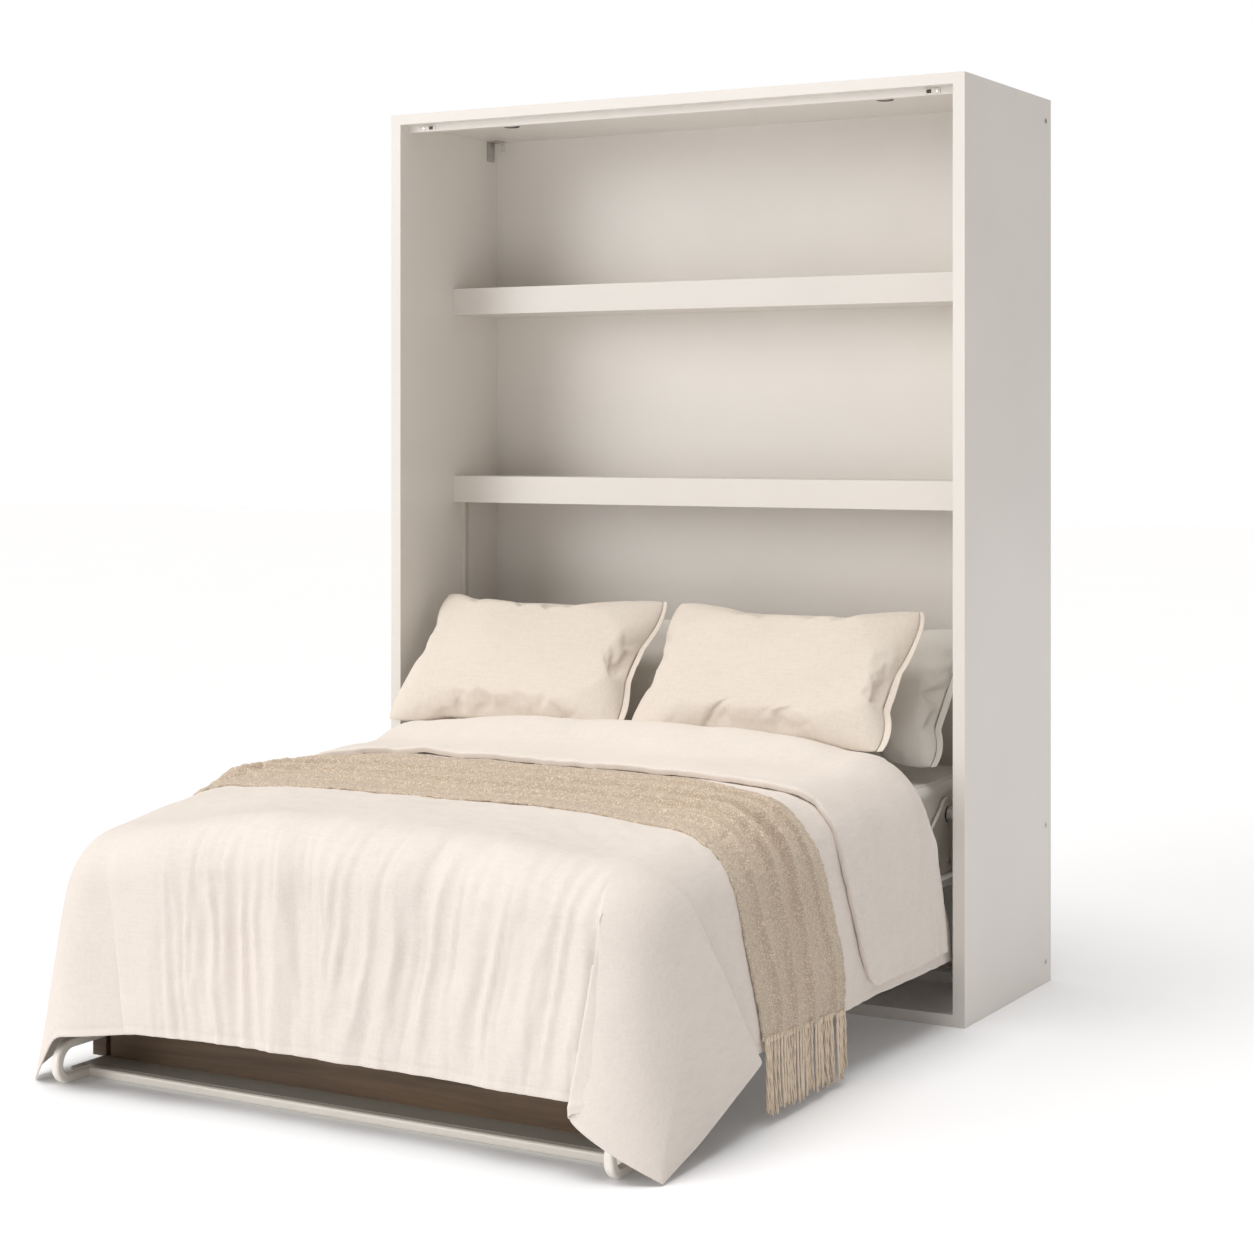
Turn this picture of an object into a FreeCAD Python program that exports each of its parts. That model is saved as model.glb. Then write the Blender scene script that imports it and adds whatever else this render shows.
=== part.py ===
import FreeCAD, Part
import math
import os

# Murphy wall bed, shown open. Millimetres. +Z is up, +Y points at the wall and +X to the
# right of a person who faces the cabinet. The origin is on the floor, at the middle of the
# cabinet's base.

V = FreeCAD.Vector

# ---------------------------------------------------------------- cabinet
CABINET_W = 1640.0
CABINET_D = 588.0
CABINET_H = 2250.0
BOARD = 30.0                    # side panel thickness
TOP_T = 27.0                    # top board thickness
BASE_T = 28.0                   # bottom board and skids
STILE_D = 61.0                  # front part of a side panel that runs up past the top board
FRONT = -CABINET_D / 2          # the cabinet's front plane
BACK = CABINET_D / 2
INNER = CABINET_W / 2 - BOARD   # half of the clear width
TOP_Z = CABINET_H - TOP_T       # underside of the top board

BACK_PANEL_Y = FRONT + 480.0    # front face of the back panel
BACK_PANEL_T = 12.0
SHELF_Y = FRONT + 256.0         # front edge of the shelves
SHELF_T = 72.0
SHELF_SKIN = 12.0
SHELF_Z = {"lower": 1208.0, "upper": 1725.0}
BATTEN_D = 40.0
WALL_RAIL_T = 18.0
WALL_RAIL_H = 100.0
WALL_HOLE_X = 600.0
WALL_HOLE_Z = (430.0, 2173.0)
WALL_HOLE_R = 4.5

HEADBOARD_T = 22.0
HEADBOARD_W = 1504.0
HEADBOARD_Z = (470.0, 872.0)
UPRIGHT_Y = (FRONT + 295.0, FRONT + 316.0)
UPRIGHT_T = 12.0
UPRIGHT_SLOT = (7.0, 5.0)
FLOOR_RAIL_Y = (FRONT + 303.0, FRONT + 321.0)
FLOOR_RAIL_H = 27.0
TOP_RAIL_Y = (FRONT + 36.0, FRONT + 56.0)
TOP_RAIL_H = 18.0

CATCH_X = 723.0
CATCH_PLATE = (42.0, 2.0, 14.0)
CATCH_HOLE = (13.0, 9.0)
CATCH_SCREW_X = 14.0            # from the plate's centre, outwards
DOWNLIGHT = (544.0, FRONT + 167.0)
DOWNLIGHT_R = 21.0
BRACKET_Y = (FRONT + 424.0, FRONT + 462.0)
BRACKET_LEG = 58.0
BRACKET_T = 3.0
CONNECTOR_Y = FRONT + 550.0
CONNECTOR_Z = (54.0, 402.0, 2193.0)
CONNECTOR_R = 7.0

# ---------------------------------------------------------------- fold
PIVOT_Y = FRONT + 162.0
PIVOT_Z = 474.0
PIVOT_R = 12.0
RUNNING = 0.05                  # radial clearance of a turning pin
PLATE_X = INNER - 6.0           # inner face of the pivot plates
ARM_X = (704.0, 712.0)          # pivot arm, beside the mattress
STRUT_X = 748.0
STRUT_TOP = (FRONT + 440.0, 874.0)
STRUT_END = (PIVOT_Y + 150.0, PIVOT_Z - 30.0)
STRUT_R = 11.0
STRUT_BORE_R = 9.0
ROD_R = 5.0
TUBE_FROM = 20.0                # along the strut, from its upper stud
TUBE_TO = 250.0
ROD_IN_TUBE = 195.0
STUD_R = 5.0

# ---------------------------------------------------------------- bed
PANEL_Z = (314.0, 332.0)        # the panels that close the cabinet's front
PANEL_HALF = 742.0
HEAD_Y = FRONT + 430.0
PANEL_FOOT_Y = FRONT - 1231.0
PANEL_GAP = 3.0
RAIL_X = (662.0, 702.0)
RAIL_Z = (332.0, 392.0)
RAIL_WALL = 3.0
FOOT_Y = FRONT - 1340.0
CROSS_D = 40.0
NOTCH_Z = 340.0                 # underside of the frame beyond the front panels
SLATS = 15
SLAT = (76.0, 12.0)
LEDGE = (20.0, 5.0)
MATTRESS = (1400.0, 1782.0, 160.0)
MATTRESS_HEAD_Y = FRONT + 432.0
MATTRESS_Z = RAIL_Z[1]
MATTRESS_TOP = MATTRESS_Z + MATTRESS[2]
STOP_T = 4.0
CLIP_T = 4.0
CLIP_DOWN = 2.0

# ---------------------------------------------------------------- leg
HINGE_Y = FRONT - 1242.0
HINGE_Z = 323.0
HINGE_PIN_R = 4.0
HINGE_X = (682.0, 230.0)        # hinge brackets, on both sides
HINGE_ARM_T = 10.0
LEG_FACE_Y = FRONT - 1251.0     # front face of the leg board
LEG_REAR_Y = FRONT - 1233.0
LEG_TOP = 328.0
LEG_BOTTOM = 21.0
GROOVE_X = (695.0, 705.0)
POST_FRONT_Y = FRONT - 1255.0
BAR = 21.0                      # size of the leg's tubes
BAR_FRONT_Y = FRONT - 1344.0
HOOP_X = 685.0
HOOP_FRONT_Y = FRONT - 1442.0
HOOP_TOP = 95.0
HOOP_R = (30.0, 42.0)           # centreline radii of the lower and the upper bend
EDGE_ROD_X = 709.0
EDGE_ROD_R = 4.5
EDGE_ROD_FRONT_Y = FRONT - 1353.0

# ---------------------------------------------------------------- bedding
DUVET_TOP = 604.0
DUVET_T = 14.0
DUVET_FOOT_Y = (FRONT - 1382.0, FRONT - 1452.0)   # at the top and at the hem
DUVET_SIDE_X = (738.0, 778.0)
DUVET_HEM = 145.0
DUVET_HEAD_Y = FRONT + 30.0
TAIL_Z = 3.0
TURNDOWN_Y = FRONT - 490.0
TURNDOWN_SIDE_Y = FRONT - 545.0
TURNDOWN_TOP = 622.0
TURNDOWN_HEM = 165.0
TURNDOWN_OVER = 8.0             # how far it stands out beyond the duvet's side
TURNDOWN_T = 7.0
CREST = ((-290.0, 621.0), (-200.0, 668.0), (-165.0, 672.0), (-145.0, 640.0), (-128.0, 621.0))
THROW_Y = (FRONT - 1010.0, FRONT - 500.0)
THROW_DROP_Y = (FRONT - 1010.0, FRONT - 585.0)
THROW_T = 8.0
THROW_DROP_T = 5.0
THROW_OVER = 6.0
THROW_HEM = 155.0
TASSELS = 24
TASSEL_T = 5.0
FRINGE_END = 12.0
GAP = 0.5                       # between soft pieces that lie on each other
PILLOW = (700.0, 425.0, 130.0)
PILLOW_TILT = 48.0              # degrees from flat
PILLOW_FRONT_X = (-396.0, 322.0)    # left and right
PILLOW_BACK_X = (-372.0, 372.0)
PILLOW_FRONT = (FRONT + 12.0, 806.0)              # centre
PILLOW_BACK = (FRONT + 214.0, 750.0)


def box(x, y, z):
    """A block between two values on each axis."""
    return Part.makeBox(x[1] - x[0], y[1] - y[0], z[1] - z[0], V(x[0], y[0], z[0]))


def rod_x(x, y, z, r):
    """A cylinder along X between two values of x."""
    return Part.makeCylinder(r, x[1] - x[0], V(x[0], y, z), V(1, 0, 0))


def rod_y(y, x, z, r):
    return Part.makeCylinder(r, y[1] - y[0], V(x, y[0], z), V(0, 1, 0))


def rod_z(z, x, y, r):
    return Part.makeCylinder(r, z[1] - z[0], V(x, y, z[0]), V(0, 0, 1))


def prism(points, sweep):
    """A flat outline of 3-D points, swept along a vector."""
    corners = [V(*p) for p in points]
    return Part.Face(Part.makePolygon(corners + corners[:1])).extrude(V(*sweep))


def group(shapes):
    return Part.makeCompound(list(shapes))


def both(shape):
    """The right-hand piece and its mirror image on the left."""
    return group([shape, mirrored(shape)])


def mirrored(shape):
    return shape.mirror(V(0, 0, 0), V(1, 0, 0))


def edges_where(shape, test):
    return [e for e in shape.Edges if test(e)]


def is_along(edge, axis):
    d = edge.tangentAt(edge.FirstParameter)
    return abs(abs(d.dot(axis)) - 1) < 1e-6


# ================================================================ cabinet
def side_panel():
    """Right side panel. Its front stile runs to the very top, and the top board laps behind."""
    panel = box((INNER, INNER + BOARD), (FRONT, BACK), (BASE_T, CABINET_H))
    panel = panel.cut(box((INNER, INNER + BOARD), (FRONT + STILE_D, BACK), (TOP_Z, CABINET_H)))
    for z in CONNECTOR_Z:
        if z > BASE_T + CONNECTOR_R:
            panel = panel.cut(connector_bolt(z, 0.1))
    return panel


def connector_bolt(z, clearance):
    """Flanged bolt that ties the side panel to the wall rail behind it."""
    outside = INNER + BOARD
    head = rod_x((outside - 3.0 - clearance, outside + 0.8), CONNECTOR_Y, z, CONNECTOR_R + clearance)
    shank = rod_x((outside - 27.0 - clearance, outside - 3.0), CONNECTOR_Y, z, 3.0 + clearance)
    return head.fuse(shank)


def socket_bolt(z):
    """A connector bolt with the hexagon socket in its head."""
    outside = INNER + BOARD
    hexagon = [
        (outside - 1.6, CONNECTOR_Y + 3.2 * math.cos(a), z + 3.2 * math.sin(a))
        for a in (math.radians(60 * n) for n in range(6))
    ]
    return connector_bolt(z, 0).cut(prism(hexagon, (4.0, 0, 0)))


def top_board():
    front = box((-INNER, INNER), (FRONT, FRONT + STILE_D), (TOP_Z, CABINET_H))
    rear = box((-INNER - BOARD, INNER + BOARD), (FRONT + STILE_D, BACK), (TOP_Z, CABINET_H))
    return front.fuse(rear).removeSplitter()


def wall_rails():
    """Two rails behind the back panel, with the holes that fix the cabinet to a wall."""
    rails = []
    for z in WALL_HOLE_Z:
        half = WALL_RAIL_H / 2
        rail = box((-INNER, INNER), (BACK - WALL_RAIL_T, BACK), (z - half, z + half))
        for x in (-WALL_HOLE_X, WALL_HOLE_X):
            rail = rail.cut(rod_y((BACK - WALL_RAIL_T - 1, BACK + 1), x, z, WALL_HOLE_R))
        rails.append(rail)
    return group(rails)


def shelf(z):
    """A box shelf: top skin, bottom skin and front lipping round a hollow core."""
    outer = box((-INNER, INNER), (SHELF_Y, BACK_PANEL_Y), (z, z + SHELF_T))
    core = box(
        (-INNER + SHELF_SKIN, INNER - SHELF_SKIN),
        (SHELF_Y + 1.5 * SHELF_SKIN, BACK_PANEL_Y + 1),
        (z + SHELF_SKIN, z + SHELF_T - SHELF_SKIN),
    )
    return outer.cut(core)


def shelf_batten(z):
    """The batten on the back panel that the box shelf slides over."""
    return box(
        (-INNER + SHELF_SKIN + 2, INNER - SHELF_SKIN - 2),
        (BACK_PANEL_Y - BATTEN_D, BACK_PANEL_Y),
        (z + SHELF_SKIN + GAP, z + SHELF_T - SHELF_SKIN - GAP),
    )


def headboard():
    board = box(
        (-HEADBOARD_W / 2, HEADBOARD_W / 2), (BACK_PANEL_Y - HEADBOARD_T, BACK_PANEL_Y), HEADBOARD_Z
    )
    front_top = edges_where(
        board,
        lambda e: is_along(e, V(1, 0, 0))
        and e.BoundBox.ZMin > HEADBOARD_Z[1] - 1
        and e.BoundBox.YMax < BACK_PANEL_Y - 1,
    )
    return board.makeFillet(6.0, front_top)


def upright():
    """A slim channel on the side wall under the lower shelf, open towards the room."""
    bar = box((INNER - UPRIGHT_T, INNER), UPRIGHT_Y, (BASE_T, SHELF_Z["lower"]))
    middle = sum(UPRIGHT_Y) / 2
    slot = box(
        (INNER - UPRIGHT_T - 1, INNER - UPRIGHT_T + UPRIGHT_SLOT[1]),
        (middle - UPRIGHT_SLOT[0] / 2, middle + UPRIGHT_SLOT[0] / 2),
        (BASE_T - 1, SHELF_Z["lower"] + 1),
    )
    return bar.cut(slot)


def top_rail():
    """Cross rail under the top board, with a pocket for each catch."""
    rail = box((-INNER, INNER), TOP_RAIL_Y, (TOP_Z - TOP_RAIL_H, TOP_Z))
    for side in (-1, 1):
        rail = rail.cut(catch_pocket(side, 0.0, 15.0))
        rail = rail.cut(catch_screw(side, 0.0, False))
    return rail


def catch_centre_z():
    return TOP_Z - TOP_RAIL_H / 2


def catch_pocket(side, inset, depth):
    """The square socket of one catch, or with an inset, the bolt inside it."""
    x = side * (CATCH_X - 8.0)
    half_x = CATCH_HOLE[0] / 2 - inset
    half_z = CATCH_HOLE[1] / 2 - inset
    z = catch_centre_z()
    return box((x - half_x, x + half_x), (TOP_RAIL_Y[0], TOP_RAIL_Y[0] + depth), (z - half_z, z + half_z))


def catch_plate(side):
    x = side * CATCH_X
    z = catch_centre_z()
    front = TOP_RAIL_Y[0] - CATCH_PLATE[1]
    plate = box(
        (x - CATCH_PLATE[0] / 2, x + CATCH_PLATE[0] / 2),
        (front, TOP_RAIL_Y[0]),
        (z - CATCH_PLATE[2] / 2, z + CATCH_PLATE[2] / 2),
    )
    plate = plate.makeFillet(2.0, edges_where(plate, lambda e: is_along(e, V(0, 1, 0))))
    window = catch_pocket(side, 0.0, 5.0)
    window.translate(V(0, -4.0, 0))
    return plate.cut(window).cut(catch_screw(side, 0.0, False))


def catch_bolt(side):
    """Spring bolt of the catch, a little behind its plate."""
    return catch_pocket(side, 1.2, 12.0)


def catch_screw(side, inset, with_head):
    x = side * (CATCH_X + CATCH_SCREW_X)
    front = TOP_RAIL_Y[0] - CATCH_PLATE[1]
    shank = rod_y((front, TOP_RAIL_Y[0] + 14.0), x, catch_centre_z(), 1.5 - inset)
    if not with_head:
        return shank
    head = rod_y((front - 1.6, front), x, catch_centre_z(), 3.0)
    return head.makeFillet(0.8, [head.Edges[0]]).fuse(shank)


def downlight_rim(side):
    x, y = side * DOWNLIGHT[0], DOWNLIGHT[1]
    rim = rod_z((TOP_Z - 4.0, TOP_Z), x, y, DOWNLIGHT_R)
    return rim.cut(rod_z((TOP_Z - 5.0, TOP_Z + 1), x, y, DOWNLIGHT_R - 5.0))


def downlight_lens(side):
    return rod_z((TOP_Z - 3.0, TOP_Z), side * DOWNLIGHT[0], DOWNLIGHT[1], DOWNLIGHT_R - 5.0)


def corner_bracket():
    """Steel angle in the top rear corner, on the side wall and under the top board."""
    wall = box((INNER - BRACKET_T, INNER), BRACKET_Y, (TOP_Z - BRACKET_LEG, TOP_Z))
    top = box((INNER - 34.0, INNER), BRACKET_Y, (TOP_Z - BRACKET_T, TOP_Z))
    angle = wall.fuse(top).removeSplitter()
    lower = edges_where(
        angle, lambda e: is_along(e, V(1, 0, 0)) and e.BoundBox.ZMax < TOP_Z - BRACKET_LEG + 1
    )
    return angle.makeFillet(8.0, lower)


def corner_bracket_screws():
    middle = sum(BRACKET_Y) / 2
    return [
        rod_x((INNER - BRACKET_T - 2.2, INNER - BRACKET_T), middle + dy, TOP_Z - dz, 4.0)
        for dy, dz in ((0.0, 18.0), (-8.0, 42.0), (9.0, 40.0))
    ]


def back_clip():
    """Small clip that holds the back panel in the corner under the top board."""
    y = BACK_PANEL_Y
    z = TOP_Z - CLIP_DOWN
    base = box((INNER - 30.0, INNER - 14.0), (y - CLIP_T, y), (z - 24.0, z))
    lip = box((INNER - 27.0, INNER - 17.0), (y - 3 * CLIP_T, y - CLIP_T), (z - 6.0, z))
    return base.fuse(lip)


def base_bracket():
    """Steel angle that ties the side panel to the bottom board behind the front edge."""
    y = (FRONT + 92.0, FRONT + 118.0)
    foot = box((INNER - 26.0, INNER), y, (BASE_T, BASE_T + 3.0))
    wall = box((INNER - 3.0, INNER), y, (BASE_T, BASE_T + 30.0))
    screw = rod_z((BASE_T + 3.0, BASE_T + 5.0), INNER - 16.0, sum(y) / 2, 4.0)
    return foot.fuse(wall).fuse(screw).removeSplitter()


def pivot_plate():
    """Steel plate on the side wall that carries the pivot pin."""
    plate = box((PLATE_X, INNER), (PIVOT_Y - 62.0, PIVOT_Y + 62.0), (PIVOT_Z - 84.0, PIVOT_Z + 84.0))
    plate = plate.makeFillet(16.0, edges_where(plate, lambda e: is_along(e, V(1, 0, 0))))
    for dy in (-44.0, 44.0):
        for dz in (-66.0, 66.0):
            plate = plate.fuse(rod_x((PLATE_X - 2.5, PLATE_X), PIVOT_Y + dy, PIVOT_Z + dz, 6.0))
    return plate


def pivot_pin():
    """Pin with a shoulder, welded to the pivot plate. The arm's bush turns on its thin end."""
    shoulder = rod_x((ARM_X[1] + 4.0, PLATE_X), PIVOT_Y, PIVOT_Z, 20.0)
    journal = rod_x((ARM_X[0] - 2.0, ARM_X[1] + 4.0), PIVOT_Y, PIVOT_Z, PIVOT_R)
    return shoulder.fuse(journal).removeSplitter()


def strut_bracket():
    """Plate on the side wall with the stud that the gas strut hangs from."""
    y, z = STRUT_TOP
    plate = box((PLATE_X, INNER), (y - 26.0, y + 26.0), (z - 34.0, z + 34.0))
    plate = plate.makeFillet(10.0, edges_where(plate, lambda e: is_along(e, V(1, 0, 0))))
    stud = rod_x((STRUT_X - 9.0, PLATE_X), y, z, STUD_R)
    collar = rod_x((STRUT_X + 8.0, PLATE_X), y, z, 9.0)
    washer = rod_x((STRUT_X - 11.0, STRUT_X - 9.0), y, z, 8.0)
    return plate.fuse(stud).fuse(collar).fuse(washer)


# ================================================================ gas strut
def along_strut(shape):
    """Turns a piece made along -Z from the origin to the strut's line, at its upper stud."""
    dy = STRUT_END[0] - STRUT_TOP[0]
    dz = STRUT_END[1] - STRUT_TOP[1]
    angle = math.degrees(math.atan2(dy, -dz))
    shape.rotate(V(0, 0, 0), V(1, 0, 0), angle)
    shape.translate(V(STRUT_X, STRUT_TOP[0], STRUT_TOP[1]))
    return shape


def strut_length():
    return math.hypot(STRUT_END[0] - STRUT_TOP[0], STRUT_END[1] - STRUT_TOP[1])


def strut_cylinder():
    """Cylinder with its eye on the cabinet's stud, and a hollow bore for the rod."""
    tube = rod_z((-TUBE_TO, -TUBE_FROM), 0, 0, STRUT_R)
    tube = tube.cut(rod_z((-TUBE_TO + 10.0, -TUBE_FROM - 12.0), 0, 0, STRUT_BORE_R))
    tube = tube.cut(rod_z((-TUBE_TO - 1.0, -TUBE_TO + 11.0), 0, 0, ROD_R + RUNNING))
    neck = rod_z((-TUBE_FROM, -6.0), 0, 0, 6.0)
    eye = rod_x((-7.0, 7.0), 0, 0, 12.0)
    bore = rod_x((-8.0, 8.0), 0, 0, STUD_R + RUNNING)
    return along_strut(tube.fuse(neck).fuse(eye).cut(bore))


def strut_rod():
    """Rod and its end fitting, which sits just outboard of the bed's stud."""
    length = strut_length()
    rod = rod_z((-length + 14.0, -TUBE_TO + ROD_IN_TUBE), 0, 0, ROD_R)
    end = rod_z((-length - 9.0, -length + 16.0), 0, 0, 8.0)
    return along_strut(rod.fuse(end))


def strut_stud():
    """Ball stud on the pivot arm. The rod's fitting stands clear of its tip."""
    tip = STRUT_X - 10.0
    stem = rod_x((ARM_X[1], tip - 3.0), STRUT_END[0], STRUT_END[1], STUD_R)
    washer = rod_x((ARM_X[1], ARM_X[1] + 5.0), STRUT_END[0], STRUT_END[1], 10.0)
    head = rod_x((tip - 5.0, tip), STRUT_END[0], STRUT_END[1], 8.0)
    return stem.fuse(washer).fuse(head)


# ================================================================ bed
def front_panel():
    """Right-hand panel under the bed, which closes the cabinet's front when folded."""
    panel = box((PANEL_GAP / 2, PANEL_HALF), (PANEL_FOOT_Y, HEAD_Y), PANEL_Z)
    return panel.makeFillet(1.5, edges_where(panel, lambda e: e.BoundBox.ZMax < PANEL_Z[0] + 1))


def side_rail():
    """Steel tube rail, shallower where it overhangs the leg."""
    y = (FOOT_Y, HEAD_Y)
    outer = box(RAIL_X, y, RAIL_Z).cut(box(RAIL_X, (FOOT_Y, PANEL_FOOT_Y + 4), (RAIL_Z[0], NOTCH_Z)))
    hollow = box(
        (RAIL_X[0] + RAIL_WALL, RAIL_X[1] - RAIL_WALL),
        (PANEL_FOOT_Y + 4 + RAIL_WALL, HEAD_Y - RAIL_WALL),
        (RAIL_Z[0] + RAIL_WALL, RAIL_Z[1] - RAIL_WALL),
    )
    return outer.cut(hollow)


def cross_tube(y, z):
    """Open-ended steel tube between the side rails."""
    outer = box((-RAIL_X[0], RAIL_X[0]), y, z)
    hollow = box(
        (-RAIL_X[0] - 1, RAIL_X[0] + 1),
        (y[0] + RAIL_WALL, y[1] - RAIL_WALL),
        (z[0] + RAIL_WALL, z[1] - RAIL_WALL),
    )
    return outer.cut(hollow)


def cross_rails():
    """Foot, hinge, head and middle rails between the side rails."""
    low_top = RAIL_Z[1] - 20.0
    middle = (PANEL_FOOT_Y + HEAD_Y) / 2
    near_foot = PANEL_FOOT_Y + 60.0
    return group([
        cross_tube((FOOT_Y, FOOT_Y + CROSS_D), (NOTCH_Z, RAIL_Z[1])),
        cross_tube((HINGE_Y - 26.0, HINGE_Y + 10.0), (NOTCH_Z, low_top)),
        cross_tube((near_foot - CROSS_D / 2, near_foot + CROSS_D / 2), (RAIL_Z[0], low_top)),
        cross_tube((middle - CROSS_D / 2, middle + CROSS_D / 2), (RAIL_Z[0], low_top)),
        cross_tube((HEAD_Y - CROSS_D, HEAD_Y), RAIL_Z),
    ])


def slat_rows():
    first = FOOT_Y + CROSS_D + 14.0
    last = HEAD_Y - CROSS_D - 14.0 - SLAT[0]
    step = (last - first) / (SLATS - 1)
    return [first + n * step for n in range(SLATS)]


def slats():
    """Sprung slats, each a shallow arch between the ledges."""
    return group(
        box((-RAIL_X[0] + 1, RAIL_X[0] - 1), (y, y + SLAT[0]), (RAIL_Z[1] - SLAT[1], RAIL_Z[1]))
        for y in slat_rows()
    )


def ledge():
    top = RAIL_Z[1] - SLAT[1]
    y = (FOOT_Y + CROSS_D, HEAD_Y - CROSS_D)
    return box((RAIL_X[0] - LEDGE[0], RAIL_X[0]), y, (top - LEDGE[1], top))


def pivot_arm():
    """Steel arm on the side rail, up to the pivot and back to the strut's stud."""
    low = RAIL_Z[0] + 2.0
    outline = [
        (ARM_X[0], PIVOT_Y - 180.0, low),
        (ARM_X[0], PIVOT_Y + 190.0, low),
        (ARM_X[0], STRUT_END[0] + 20.0, STRUT_END[1]),
        (ARM_X[0], STRUT_END[0] + 8.0, STRUT_END[1] + 18.0),
        (ARM_X[0], PIVOT_Y + 34.0, PIVOT_Z + 20.0),
        (ARM_X[0], PIVOT_Y - 34.0, PIVOT_Z + 20.0),
        (ARM_X[0], PIVOT_Y - 180.0, RAIL_Z[1]),
    ]
    plate = prism(outline, (ARM_X[1] - ARM_X[0], 0, 0))
    plate = plate.fuse(rod_x(ARM_X, PIVOT_Y, PIVOT_Z, 40.0)).removeSplitter()
    web = box((RAIL_X[1], ARM_X[0]), (PIVOT_Y - 180.0, PIVOT_Y + 190.0), (low, RAIL_Z[1] - 4.0))
    return plate.fuse(web).removeSplitter().cut(rod_x((RAIL_X[1], ARM_X[1] + 1), PIVOT_Y, PIVOT_Z, 16.0))


def pivot_bush():
    """Flanged bush pressed into the arm."""
    sleeve = rod_x((ARM_X[0], ARM_X[1]), PIVOT_Y, PIVOT_Z, 16.0)
    flange = rod_x((ARM_X[1], ARM_X[1] + 3.0), PIVOT_Y, PIVOT_Z, 20.0)
    return sleeve.fuse(flange).cut(rod_x((RAIL_X[1], ARM_X[1] + 9), PIVOT_Y, PIVOT_Z, PIVOT_R + RUNNING))


def arm_bolts():
    """Heads of the bolts that hold the arm on the rail."""
    z = RAIL_Z[0] + 30.0
    return [rod_x((ARM_X[1], ARM_X[1] + 5.0), PIVOT_Y + dy, z, 8.0) for dy in (-140.0, -70.0, 0.0, 70.0)]


def mattress_stop():
    """Bent plate that holds the mattress up when the bed stands."""
    y = MATTRESS_HEAD_Y
    upright_leg = box((-500.0, 500.0), (y, y + STOP_T), (RAIL_Z[0] + 10.0, 500.0))
    upright_leg = upright_leg.makeFillet(
        24.0, edges_where(upright_leg, lambda e: is_along(e, V(0, 1, 0)) and e.BoundBox.ZMin > 400.0)
    )
    foot = box((-500.0, 500.0), (HEAD_Y, y), (RAIL_Z[0] + 10.0, RAIL_Z[1] - 6.0))
    return upright_leg.fuse(foot).removeSplitter()


def mattress():
    half = MATTRESS[0] / 2
    y = (MATTRESS_HEAD_Y - MATTRESS[1], MATTRESS_HEAD_Y)
    block = box((-half, half), y, (MATTRESS_Z, MATTRESS_TOP))
    block = block.makeFillet(60.0, edges_where(block, lambda e: is_along(e, V(0, 0, 1))))
    rims = edges_where(block, lambda e: e.BoundBox.ZLength < 0.1)
    return block.makeFillet(18.0, rims)


def hinge_bracket(x):
    """Lug from the frame down to the leg's hinge pin."""
    half = HINGE_ARM_T / 2
    top = NOTCH_Z
    lug = box((x - half, x + half), (HINGE_Y - 7.0, HINGE_Y + 7.0), (HINGE_Z, top))
    lug = lug.fuse(rod_x((x - half, x + half), HINGE_Y, HINGE_Z, 7.0)).removeSplitter()
    pad = box((x - 14.0, x + 14.0), (HINGE_Y - 24.0, HINGE_Y + 7.0), (top - 3.0, top))
    return lug.fuse(pad).cut(rod_x((x - 20, x + 20), HINGE_Y, HINGE_Z, HINGE_PIN_R + RUNNING))


# ================================================================ leg
def hinge_notch(x):
    half = HINGE_ARM_T / 2 + 0.5
    return box((x - half, x + half), (POST_FRONT_Y - 1, LEG_REAR_Y + 1), (HINGE_Z - 10.0, LEG_TOP + 1))


def hinge_bore():
    return rod_x((-PANEL_HALF - 2, PANEL_HALF + 2), HINGE_Y, HINGE_Z, HINGE_PIN_R)


def leg_board():
    """Board that hangs from the hinge, with a shadow groove beside each end post."""
    board = box((-GROOVE_X[0], GROOVE_X[0]), (LEG_FACE_Y, LEG_REAR_Y), (LEG_BOTTOM, LEG_TOP))
    for side in (-1, 1):
        x = sorted((side * GROOVE_X[0], side * GROOVE_X[1]))
        board = board.fuse(box(x, (LEG_REAR_Y - 9.0, LEG_REAR_Y), (LEG_BOTTOM, LEG_TOP)))
        for place in HINGE_X:
            board = board.cut(hinge_notch(side * place))
    return board.cut(hinge_bore()).removeSplitter()


def leg_post():
    post = box((GROOVE_X[1], PANEL_HALF + 1.0), (POST_FRONT_Y, LEG_REAR_Y), (LEG_BOTTOM, LEG_TOP))
    return post.cut(hinge_bore())


def hinge_pin(x):
    return rod_x((x - 42.0, x + 12.0 if x > 0 else x + 42.0), HINGE_Y, HINGE_Z, HINGE_PIN_R)


def foot_plate():
    """Pressed steel tread between the cross bar and the board, with flanges turned down."""
    y = (BAR_FRONT_Y + BAR, LEG_REAR_Y)
    plate = box((-EDGE_ROD_X, EDGE_ROD_X), y, (1.0, BAR))
    hollow = box((-EDGE_ROD_X - 1, EDGE_ROD_X + 1), (y[0] + 3.0, y[1] - 3.0), (0.0, BAR - 3.0))
    return plate.cut(hollow)


def cross_bar():
    """Round-edged tube along the floor between the two hoops."""
    x = HOOP_X - BAR / 2
    bar = box((-x, x), (BAR_FRONT_Y, BAR_FRONT_Y + BAR), (0.0, BAR))
    return bar.makeFillet(6.0, edges_where(bar, lambda e: is_along(e, V(1, 0, 0))))


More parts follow.
